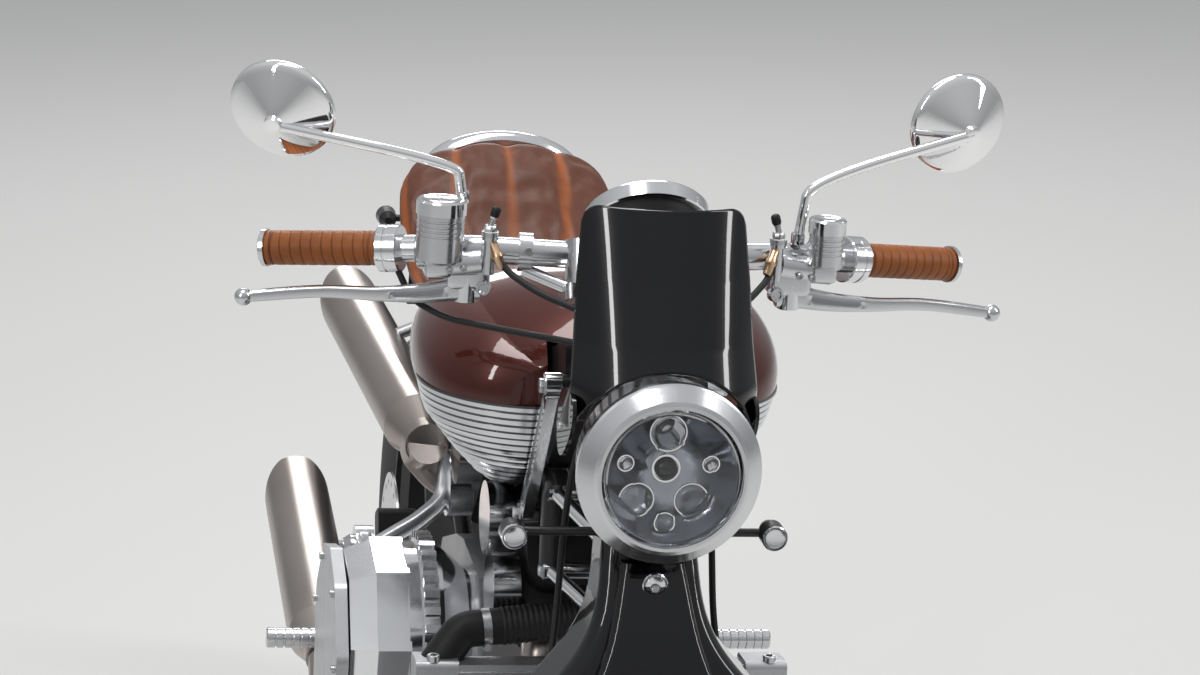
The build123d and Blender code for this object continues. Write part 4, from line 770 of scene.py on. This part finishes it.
def reservoir_lid(radius, height):
    """Rows of the lid: a sharp edge, a thin bevel and a shallow dished top."""
    return [(height - 16, radius - 3), (height - 15.5, radius), (height - 2, radius), (height, radius - 2),
            (height, radius - 6), (height - 1, radius - 8), (height - 1, 3)]


def ball(radius, steps=17):
    """Rows of a sphere, nearly closed at both ends."""
    return [(radius * math.sin(a), radius * math.cos(a)) for a in np.linspace(-1.5, 1.5, steps)]


UPWARDS = parked_way((0, 0, 1))
# rows of height and radius
CLAMP_RING = [(0, 17), (0, 23.5), (1.5, 25), (13, 25), (13.6, 23.8), (15, 23.8), (15.6, 25), (22.5, 25),
              (24, 23.5), (24, 17)]
SWITCH_RING = [(0, 15), (0, 20.5), (1.5, 22), (16.5, 22), (18, 20.5), (18, 15)]
HOSE_POST = [(0, 6), (36, 6), (36, 8.5), (41, 8.5)]
PIVOT = [(0, 11.5), (1, 13), (28, 13), (30, 11.5)]
PLUNGER = [(0, 8), (7, 8), (9, 7), (9, 5), (8, 4)]
# columns: side, radius and height of the cup, x and z of its foot
CUPS = [(-1, 26, 66, 203, 1032), (1, 20, 52, 205, 1036)]


def hand_controls():
    """Both sets as three joined pieces: castings, polished parts and levers."""
    cast, bright, blades = [], [], []
    for side, radius, height, x, z in CUPS:
        end, knee = BAR_END * [side, 1, 1], BAR_KNEE * [side, 1, 1]
        out = (end - knee) / np.linalg.norm(end - knee)
        bright.append(lathe(CLAMP_RING, parked(end - out * (GRIP_LENGTH + 24.5)), parked_way(out), 56))
        cast.append(lathe(SWITCH_RING, parked(end - out * (GRIP_LENGTH + 62)), parked_way(out), 48))
        foot = parked((side * x, 380, z))
        cast.append(lathe(reservoir(radius, height), foot, UPWARDS, 64))
        bright.append(lathe(reservoir_lid(radius, height), foot, UPWARDS, 64))
        body = [(side * (x + 10), 392, z - 8), (side * 180, 390, z - 5), (side * 158, 388, z - 2)]
        cast.append(tube(body, 14.5, 32))
        cast.append(soft_block((side * x - 14, 374, z - 18), (side * x + 14, 412, z + 6)))
        cast.append(soft_block((side * 148, 379, 1001), (side * 194, 413, 1036)))
        cast.append(lathe(HOSE_POST, parked((side * 152, 374, 1021)), UPWARDS, 32))
        bright.append(lathe(PIVOT, parked((side * 172, 392, 987)), UPWARDS, 40))
        bright.append(lathe(PLUNGER, parked((side * 154, 384, 1004)), parked_way((side * 0.2, -1, 0.1)), 32))
        blades.append(lever_blade(side))
        blades.append(lathe(ball(9.3), parked(LEVER_ROWS[-1, :3] * [side, 1, 1]), UPWARDS, 32))
    castings = make_piece("control_castings", joined(cast), "satin_aluminium", "steering")
    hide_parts("hand_controls")
    make_piece("control_rings", joined(bright), "polished_aluminium", "steering")
    make_piece("hand_levers", joined(blades), "satin_aluminium", "steering")


hand_controls()

# %% [markdown]
# A slotted casting stands behind the clutch and carries the upper silencer. It is a section carried
# along a curve, as the levers are.

# %% Silencer arm
# columns: x, y, z, height, thickness
ARM_ROWS = [(-112, 902, 668, 20, 16), (-113, 892, 640, 20, 16), (-118, 882, 612, 21, 16),
            (-140, 872, 592, 22, 16), (-172, 862, 573, 24, 16), (-196, 856, 560, 24, 16)]
make_piece("silencer_arm", cast_bar(ARM_ROWS), "cast_aluminium", "chassis")

# %% [markdown]
# A mirror is a shallow spun cone on a bent stem. The cone's wall bows in a little, and its rim is
# rolled round the glass. A hexagon adapter joins the stem to the clamp.

# %% Mirrors
# columns: stem foot, bend, middle of the head's back, direction of the glass
MIRRORS = [((-180, 396, 1095), (-186, 397, 1130), (-377, 404, 1164), (0.36, 0.84, 0.36)),
           ((178, 396, 1060), (186, 397, 1122), (366, 425, 1173), (-0.25, 0.94, 0.17))]


STEM_RADIUS = 5.5
CONE = [(-5, 6), (-4, 9), (2, 10), *[(2 + 25 * u, 10 + 43.5 * u ** 0.93) for u in np.linspace(0.1, 1, 10)],
        (29, 55.3), (31, 56), (35, 56), (36.5, 55), (36.5, 52.5), (34.5, 52)]
PANE = [(34, 52), (35.2, 52), (35.6, 40), (35.8, 10)]
ADAPTER = [(-4, 7.5, 1), (6, 7.5, 1), (8, 6.5)]


def mirror_pieces():
    """Stems and cones in one piece and the two glasses in another."""
    shells, glasses = [], []
    for foot, bend_at, apex, facing in MIRRORS:
        halfway = np.array(bend_at) * 0.5 + np.array(foot) * 0.5
        shells.append(tube([foot, halfway, bend_at, apex], STEM_RADIUS, 24))
        shells.append(lathe(CONE, parked(apex), parked_way(facing), 72))
        shells.append(lathe(ADAPTER, parked(foot), UPWARDS))
        glasses.append(lathe(PANE, parked(apex), parked_way(facing), 64))
    heads = make_piece("mirror_heads", joined(shells), "chrome", "steering")
    panes = make_piece("mirror_panes", joined(glasses), "mirror_glass", "steering")
    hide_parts("mirrors")
    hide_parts("mirror_glasses")


mirror_pieces()

# %% [markdown]
# The bolts follow the joints of the real machine: pinch bolts at the clamps, hexagons on the
# struts and stand, cap screws round the covers, and nuts on the axles. Each row of the table gives
# the piece that carries it, its place, the way it faces, its radius, its height and its kind.

# %% Screws and nuts
BANK = 44
CRANK_AXIS = (690, 500)
HEAD_REACH = 284


def circle(count, radius, centre, start=0):
    """Places evenly round a centre, as pairs."""
    turns = [math.radians(start + 360 * number / count) for number in range(count)]
    return [(centre[0] + radius * math.cos(a), centre[1] + radius * math.sin(a)) for a in turns]


def head_screws():
    """Six cap screws on each cylinder head, laid out square to its lean."""
    rows = []
    for lean in (-BANK, BANK):
        c, s = math.cos(math.radians(lean)), math.sin(math.radians(lean))
        for across, along in ((-52, 30), (-52, -30), (52, 30), (52, -30), (0, 38), (0, -38)):
            place = (across + 3, CRANK_AXIS[0] + along * c - HEAD_REACH * s,
                     CRANK_AXIS[1] + along * s + HEAD_REACH * c)
            rows.append(("cylinders", place, (0, -s, c), 4.2, 4.5, "cap"))
    return rows


# columns: carrier, place, way out, radius, height, kind
SCREWS = [
    ("steering_stem", (0, 372, 1012), (0, 0.41, 0.91), 16, 9, "hex"),
    ("radiator", (184, 392, 600), (0, 0, 1), 7, 6, "cap"),
    ("radiator", (-184, 392, 600), (0, 0, 1), 7, 6, "cap"),
    ("fork_upright", (0, 205, 742), (0, -1, 0.3), 5, 3, "button"),
]
for side in (-1, 1):
    SCREWS += [
        ("steering_stem", (112 * side, 392, 1041), (0, -1, 0.25), 4.5, 5, "cap"),
        ("steering_stem", (52 * side, 380, 1050), (0, -0.3, 1), 5, 5, "cap"),
        ("hand_controls", (172 * side, 393, 1019), (0, 0, 1), 8, 5, "hex"),
        ("hand_controls", (192 * side, 380, 1024), (0, -1, 0), 3.6, 4, "cap"),
        ("hand_controls", (178 * side, 380, 1026), (0, -1, 0), 3.6, 4, "cap"),
        ("hand_controls", (193 * side, 405, 1050), (0, 0, 1), 3.5, 4, "cap"),
        ("cowl", (93 * side, 222, 905), (side, 0, 0), 5, 3.5, "button"),
        ("fork_upright", (92 * side, 12, 338), (0, 1, 0), 5, 6, "cap"),
        ("fork_upright", (92 * side, 2, 290), (0, 1, 0), 5, 6, "cap"),
        ("front_calipers", (82 * side, 92, 352), (side, 0, 0), 5, 5, "cap"),
        ("front_calipers", (82 * side, 108, 330), (side, 0, 0), 5, 5, "cap"),
        ("front_struts", (93 * side, 330, 915), (side, 0, 0), 8, 6, "hex"),
        ("front_struts", (90 * side, 462, 734), (side, 0, 0), 8, 6, "hex"),
        ("footrests", (164 * side, 890, 500), (side, 0, 0), 6, 6, "cap"),
        ("footrests", (164 * side, 905, 335), (side, 0, 0), 6, 6, "cap"),
        ("footrests", (164 * side, 968, 480), (side, 0, 0), 5, 4, "button"),
        ("swingarm", (137 * side, 930, 400), (side, 0, 0), 17, 8, "hex"),
        ("swingarm", (146 * side, 1492, 332), (side, 0, 0), 6, 5, "cap"),
        ("rear_axle", (163 * side, 1540, 325), (side, 0, 0), 12, 6, "hex"),
        ("wishbones", (70 * side, 400, 778), (side, 0, 0), 7, 5, "hex"),
        ("wishbones", (70 * side, 400, 690), (side, 0, 0), 7, 5, "hex"),
        ("frame", (70 * side, 800, 830), (side, 0, 0), 7, 5, "cap"),
        ("radiator", (196 * side, 398, 380), (0, -1, 0), 4, 4, "button"),
        ("radiator", (196 * side, 398, 560), (0, -1, 0), 4, 4, "button"),
    ]
    if side == 1:
        SCREWS += head_screws()
for y, z in ((608, 375), (700, 336), (806, 362), (828, 505), (588, 505), (770, 578), (636, 578)):
    SCREWS.append(("side_cover", (-268, y, z), (-1, 0, 0), 4.6, 5, "cap"))
for y, z in circle(8, 80, (690, 480), 20):
    SCREWS.append(("crankcase", (145, y, z), (1, 0, 0), 4.6, 5, "cap"))
for x, y in circle(6, 17, (0, 620)):
    SCREWS.append(("fuel_cap", (x, y, 990), (0, 0.05, 1), 2.4, 1.6, "button"))
for (y, z), (back_y, back_z) in zip(circle(6, 52, (0, AXLE_HEIGHT)), circle(6, 46, (1540, 325))):
    SCREWS += [("front_discs", (side * 62, y, z), (side, 0, 0), 4.5, 4, "button") for side in (-1, 1)]
    SCREWS += [("rear_disc", (-98, back_y, back_z), (-1, 0, 0), 4.5, 4, "button"),
               ("rear_sprocket", (101, back_y, back_z), (1, 0, 0), 5.5, 5, "hex")]


def make_screws():
    """One joined piece of screws for each body."""
    groups = {}
    for carrier, place, way, radius, height, kind in SCREWS:
        spot, out = on_surface(carrier, place, way)
        groups.setdefault(BODY_OF[carrier], []).append(lathe(HEADS[kind](radius, height), spot, out))
    for body, shapes in groups.items():
        make_piece(body + "_screws", joined(shapes), "steel", body)


make_screws()

# %% [markdown]
# The headlight holds clear projector domes in bright cups round a hub, behind the main lens. A
# dome is a quarter circle carried round the lamp's axis. The small running light and the signals
# get the same kind of lens.

# %% Lamp insides and small lenses
def dome(radius, rise, steps=7):
    """Rows of a low spherical cap: the radius falls as the cosine and the height as the sine."""
    turn_by = np.linspace(0, math.pi / 2 * 0.96, steps)
    return [(-2, radius)] + [(rise * math.sin(a), radius * math.cos(a)) for a in turn_by]


def cup(radius, depth, wall=1.2):
    """Rows of a bowl open to the front: up the outside, over the rim and down the inside."""
    return [(-depth, 0.45 * radius), (-0.5 * depth, 0.85 * radius), (0, radius), (1, radius),
            (1, radius - wall), (-0.45 * depth, 0.8 * radius - wall), (-0.9 * depth, 0.4 * radius)]


def lamp_bowl(wall=1.2):
    """A parabola of revolution: the radius is the square root of what is left of the depth."""
    inner = [(-54 * (1 - u * u), 5 + 63.5 * u) for u in np.linspace(1, 0, 14)]
    return [(height - 2.2, radius + wall) for height, radius in inner[::-1]] + inner


LAMP = np.array([0.0, 115.0, 887.0])
FRONT_WAY = parked_way((0, -1, 0))
# columns: x and height from the lamp's middle, radius
PROJECTORS = [(-27.4, -32, 16), (27.4, -32, 16), (0, 36, 17), (0, -52, 9), (-42, 8, 7), (42, 8, 7)]
HUB = [(-56, 15), (-26, 15), (-24, 14.4), (-24, 12.5), (-27, 12)]
HUB_BALL = [(-34, 11.5), (-26, 11.5), *[(-26 + 9 * math.sin(a), 11.5 * math.cos(a))
                                        for a in np.linspace(0.2, 1.5, 8)]]
# columns: place, radius of the lens, its rise, radius of the rim
SMALL_LIGHTS = [((-134, 214, 791), 11.5, 5, 13.4), ((134, 214, 791), 11.5, 5, 13.4),
                ((0, 150, 762), 11.5, 6, 13.0)]


def rim(radius):
    """Rows of a thin polished ring."""
    return [(-1, radius), (1.5, radius), (2.5, radius - 1), (0.2, radius - 1.8)]


def lamp_pieces():
    """Bowl, hub, ball, cups and domes of the headlight."""
    cups, domes = [], []
    for x, up, radius in PROJECTORS:
        spot = parked(LAMP + [x, 24 if radius > 10 else 14, up])
        cups.append(lathe(cup(radius + 1.5, 20), spot, FRONT_WAY, 32))
        domes.append(lathe(dome(radius - 0.5, 0.55 * radius), spot, FRONT_WAY, 32))
    middle = parked(LAMP)
    bowl = lathe(lamp_bowl(), middle, FRONT_WAY, 64)
    lamp_bowl_piece = make_piece("lamp_bowl", bowl, "lamp_inner", "steering")
    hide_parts("headlight_reflector")
    make_piece("lamp_hub", lathe(HUB, middle, FRONT_WAY, 40), "chrome", "steering")
    make_piece("lamp_ball", lathe(HUB_BALL, middle, FRONT_WAY, 40), "black_gloss", "steering")
    make_piece("lamp_cups", joined(cups), "chrome", "steering")
    make_piece("lamp_domes", joined(domes), "clear_lens", "steering")


def small_lights():
    """Lenses and rims of both signals, and of the running light on the fork."""
    lenses, rims = [], []
    for place, radius, rise, rim_radius in SMALL_LIGHTS:
        spot, out = on_surface("front_signals", place, (0, -1, 0))
        lenses.append(lathe(dome(radius, rise), spot, out, 28))
        rims.append(lathe(rim(rim_radius), spot, out, 32))
    make_piece("signal_lenses", joined(lenses), "clear_lens", "steering")
    make_piece("signal_rims", joined(rims), "polished_aluminium", "steering")


lamp_pieces()
small_lights()

# %% [markdown]
# The flyscreen is a thin bent shell in front of the clock. Level outlines are arcs that narrow
# upwards. Its lower edge follows the lamp's circle and its top corners are rounded, so each point's
# height runs between two curves that depend on how far out it lies. Width depends on height too,
# and a few rounds of substitution settle both.

# %% Flyscreen
# columns: height, half width, foremost y, rear edge y
SCREEN_ROWS = np.array([[887, 95, 110, 212], [915, 95, 112, 200], [960, 91, 128, 178], [1000, 88, 152, 197],
                        [1060, 85, 182, 220], [1128, 79.5, 214, 243]], float)
SCREEN_TOP, SCREEN_CORNER, LAMP_CIRCLE = 1128.0, 17.0, 94.5


def screen_skin(rows, columns):
    """Arcs across, each height between the lamp's circle and the top edge with rounded corners."""
    share, across = np.meshgrid(np.linspace(0, 1, rows), np.linspace(-1, 1, columns), indexing="ij")
    z = 960 + 100 * share
    for _ in range(12):
        half, nose, edge = [np.interp(z, SCREEN_ROWS[:, 0], SCREEN_ROWS[:, i]) for i in (1, 2, 3)]
        deep = edge - nose
        radius = (half**2 + deep**2) / (2 * deep)
        sweep = np.arcsin(np.clip(half / radius, -1, 1)) * across
        x = radius * np.sin(sweep)
        low = LAMP[2] + np.sqrt(np.maximum(LAMP_CIRCLE**2 - x**2, 28.0**2))
        past = np.clip(np.abs(x) - (half - SCREEN_CORNER), 0, SCREEN_CORNER)
        high = SCREEN_TOP - SCREEN_CORNER + np.sqrt(SCREEN_CORNER**2 - past**2)
        z = 0.5 * z + 0.5 * (low + share * (high - low))
    y = nose + radius * (1 - np.cos(sweep))
    return np.stack([x, y, z], axis=-1).reshape(-1, 3)


def plate(outline, places, rounds=3):
    """A flat plate between two x places, its corners cut again and again until they are round."""
    corners = np.array(outline, float)
    for _ in range(rounds):
        after = np.roll(corners, -1, axis=0)
        cut = [0.75 * corners + 0.25 * after, 0.25 * corners + 0.75 * after]
        corners = np.stack(cut, axis=1).reshape(-1, 2)
    rings = [np.column_stack([np.full(len(corners), place), corners]) for place in places]
    return parked(np.concatenate(rings)), capped(2, len(corners))


SCREEN_TAB = [(160, 955), (232, 946), (243, 900), (226, 874), (196, 880), (150, 925)]
SCREEN_RINGS, SCREEN_SIDES = 72, 61
screen = (parked(screen_skin(SCREEN_RINGS, SCREEN_SIDES)),
          grid_faces(SCREEN_RINGS, SCREEN_SIDES, closed=False))
flyscreen = make_piece("flyscreen", screen, "black_gloss", "steering")
wall = flyscreen.modifiers.new("wall", "SOLIDIFY")
wall.thickness, wall.offset, wall.use_rim = 0.004, 1.0, True
tabs = [plate(SCREEN_TAB, places) for places in ((-93.5, -89.5), (89.5, 93.5))]
make_piece("screen_tabs", joined(tabs), "black_gloss", "steering")
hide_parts("cowl")

# %% [markdown]
# The clock looks up and back at the rider, so the camera sees the outside of its polished ring
# over the flyscreen. Housing, ring, dial and glass are turned about one axis. The dial carries
# plain ticks and a needle.

# %% Clock
CLOCK = parked((0, 322, 1092))
CLOCK_WAY = parked_way((0, 0.72, 0.69))
HOUSING = [(-50, 30), (-46, 38), (-22, 54), (-6, 59), (6, 60)]
RING = [(-9, 59), (-9, 63), (-7.5, 64.5), (7, 64.5), (9, 63), (9, 57), (3, 56), (-2, 55)]
GLASS = [(4.5, 56), (6, 56), (7, 50), (7.6, 30), (7.8, 10)]
DIAL = [(-3, 55.5), (0, 55.5), (0.2, 20)]


def dial_marks():
    """Flat ticks, nine degrees apart over three quarters of the dial, and one needle."""
    way, first, second = axis_frame(CLOCK_WAY)
    marks = []
    for number in range(31):
        angle = math.radians(225 - 9 * number)
        long = 9 if number % 5 == 0 else 5
        marks.append((angle, 50 - long, 50, 1.1 if number % 5 == 0 else 0.6, 0.6))
    marks.append((math.radians(225), -12, 40, 1.4, 2.0))
    shapes = []
    for angle, near, far, half, high in marks:
        out = math.cos(angle) * first + math.sin(angle) * second
        side = np.cross(way, out)
        base = [out * near - side * half, out * far - side * half, out * far + side * half,
                out * near + side * half]
        low = [CLOCK + (corner - way * 1.5) / 1000 for corner in base]
        top = [CLOCK + (corner + way * high) / 1000 for corner in base]
        shapes.append((np.array(low + top), capped(2, 4)))
    return joined(shapes)


DIAL_WHITE = surface("dial marks", (0.75, 0.75, 0.72), 0, 0.5, 0.05, 40, 300)
clock_housing = make_piece("clock_housing", lathe(HOUSING, CLOCK, CLOCK_WAY, 64), "engine_black", "steering")
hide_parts("instrument")
make_piece("clock_ring", lathe(RING, CLOCK, CLOCK_WAY, 96), "polished_aluminium", "steering")
make_piece("clock_glass", lathe(GLASS, CLOCK, CLOCK_WAY, 64), "clear_lens", "steering")
make_piece("dial_marks", dial_marks(), "clear_lens", "steering", DIAL_WHITE)
make_piece("dial_face", lathe(DIAL, CLOCK, CLOCK_WAY, 64), "engine_black", "steering")

# %% [markdown]
# Brake and clutch lines end in a crimped copper sleeve under a banjo bolt, and beside it stands a
# bleed nipple with a black rubber cap. They are turned shapes too.

# %% Hose ends
COPPER = surface("copper sleeve", (0.62, 0.42, 0.27), 1, 0.3, 0.1, 60, 800, 0.3, 0.00006, 0.3)
HOSE_TOP = (151, 374, 1058)
HOSE_CRIMP = (139, 361, 1030)
BANJO = [(-1, 9), (4, 9), (4, 7, 1), (10, 7, 1), (11, 5.5)]
NIPPLE = [(0, 3), (8, 3), (8, 4, 1), (11, 4, 1)]
RUBBER_CAP = [(0, 4.2), (2, 5), (8, 5), (10, 4), (11, 2.4)]
NIPPLE_FOOT = 0.010


def hose_sleeve(side):
    """A crimped sleeve between two places, thicker over the middle of its length."""
    start, end = parked([np.array(HOSE_TOP) * [side, 1, 1], np.array(HOSE_CRIMP) * [side, 1, 1]])
    size = float(np.linalg.norm(end - start)) * 1000
    rows = [(0, 3.8), (2, 5), (size * 0.45, 5), (size * 0.5, 6), (size * 0.62, 6), (size * 0.66, 5),
            (size - 2, 4.6), (size, 4)]
    return lathe(rows, start, end - start)


sleeves, bolts, caps = [], [], []
for side in (-1, 1):
    sleeves.append(hose_sleeve(side))
    banjo, up = on_surface("hand_controls", (side * 152, 374, 1062), (0, 0, 1))
    aside = parked_way((-side * 0.3, 0, 1))
    nipple = banjo + up * NIPPLE_FOOT
    bolts += [lathe(BANJO, banjo, up), lathe(NIPPLE, nipple, aside)]
    caps.append(lathe(RUBBER_CAP, nipple + aside * NIPPLE_FOOT, aside))
make_piece("hose_sleeves", joined(sleeves), "steel", "steering", COPPER)
make_piece("banjo_bolts", joined(bolts), "steel", "steering")
make_piece("bleed_caps", joined(caps), "black_rubber", "steering")

# %% [markdown]
# The radiator's core is rows of flat tubes with folded fins between them, and the rubber hose that
# leads to it is ribbed and held by a steel band. The fins are a zigzag, in which every second point
# lies one tube pitch lower.

# %% Radiator core and hose
CORE_PITCH, CORE_ROWS, FIN_PITCH, CORE_HALF = 9.0, 12, 3.2, 158.0
CORE_MIDDLE, CORE_LEAN = (381, 470), 4
HOSE_FROM, HOSE_TO, HOSE_RADIUS = (4, 433.8, 625.6), (-150, 428, 612), 20


def core_front(z):
    """The core leans back, so its front face moves with height."""
    return CORE_MIDDLE[0] + math.tan(math.radians(CORE_LEAN)) * (z - CORE_MIDDLE[1])


def fin_row(z):
    """A zigzag ribbon across the core between two tubes."""
    count = int(2 * CORE_HALF / FIN_PITCH) + 1
    x = np.linspace(-CORE_HALF, CORE_HALF, count)
    heights = z + np.where(np.arange(count) % 2, 1.0, -1.0) * (CORE_PITCH / 2 - 0.8)
    rows = [np.column_stack([x, np.full(count, core_front(z) + deep), heights]) for deep in (-1.2, 0.6)]
    return parked(np.concatenate(rows)), grid_faces(2, count, closed=False)


def flat_tube(z):
    """A rounded bar across the core, a little proud of it."""
    near, far = core_front(z) - 1.8, core_front(z) + 1
    return plate([(near, z - 1), (near, z + 1), (far, z + 1), (far, z - 1)], (-CORE_HALF, CORE_HALF), 2)


levels = [CORE_MIDDLE[1] + CORE_PITCH * number for number in range(-CORE_ROWS, CORE_ROWS + 1)]
make_piece("radiator_tubes", joined([flat_tube(z) for z in levels]), "satin_aluminium", "chassis")
fins = joined([fin_row(z + CORE_PITCH / 2) for z in levels[:-1]])
fin_piece = make_piece("radiator_fins", fins, "cast_aluminium", "chassis")
fin_piece.modifiers.new("thickness", "SOLIDIFY").thickness = 0.0003
hose_start = parked(HOSE_FROM)
hose_way = parked(HOSE_TO) - hose_start
ribs = [(along, HOSE_RADIUS + 0.2 + 0.9 * (math.sin(along * math.pi / 3) > 0))
        for along in np.arange(8, 112, 1.5)]
make_piece("hose_ribs", lathe(ribs, hose_start, hose_way, 40), "black_rubber", "chassis")
band = lathe([(124, HOSE_RADIUS), (124, 21.4), (133, 21.4), (133, HOSE_RADIUS)], hose_start, hose_way, 48)
screw_foot = hose_start + hose_way / np.linalg.norm(hose_way) * 0.1285 + parked_way((0, -0.5, -1)) * 0.0225
screw = lathe([(0, 3.4), (14, 3.4), (14, 4.4, 1), (18, 4.4, 1)], screw_foot, parked_way((0, -1, 0.4)))
make_piece("hose_band", joined([band, screw]), "steel", "chassis")
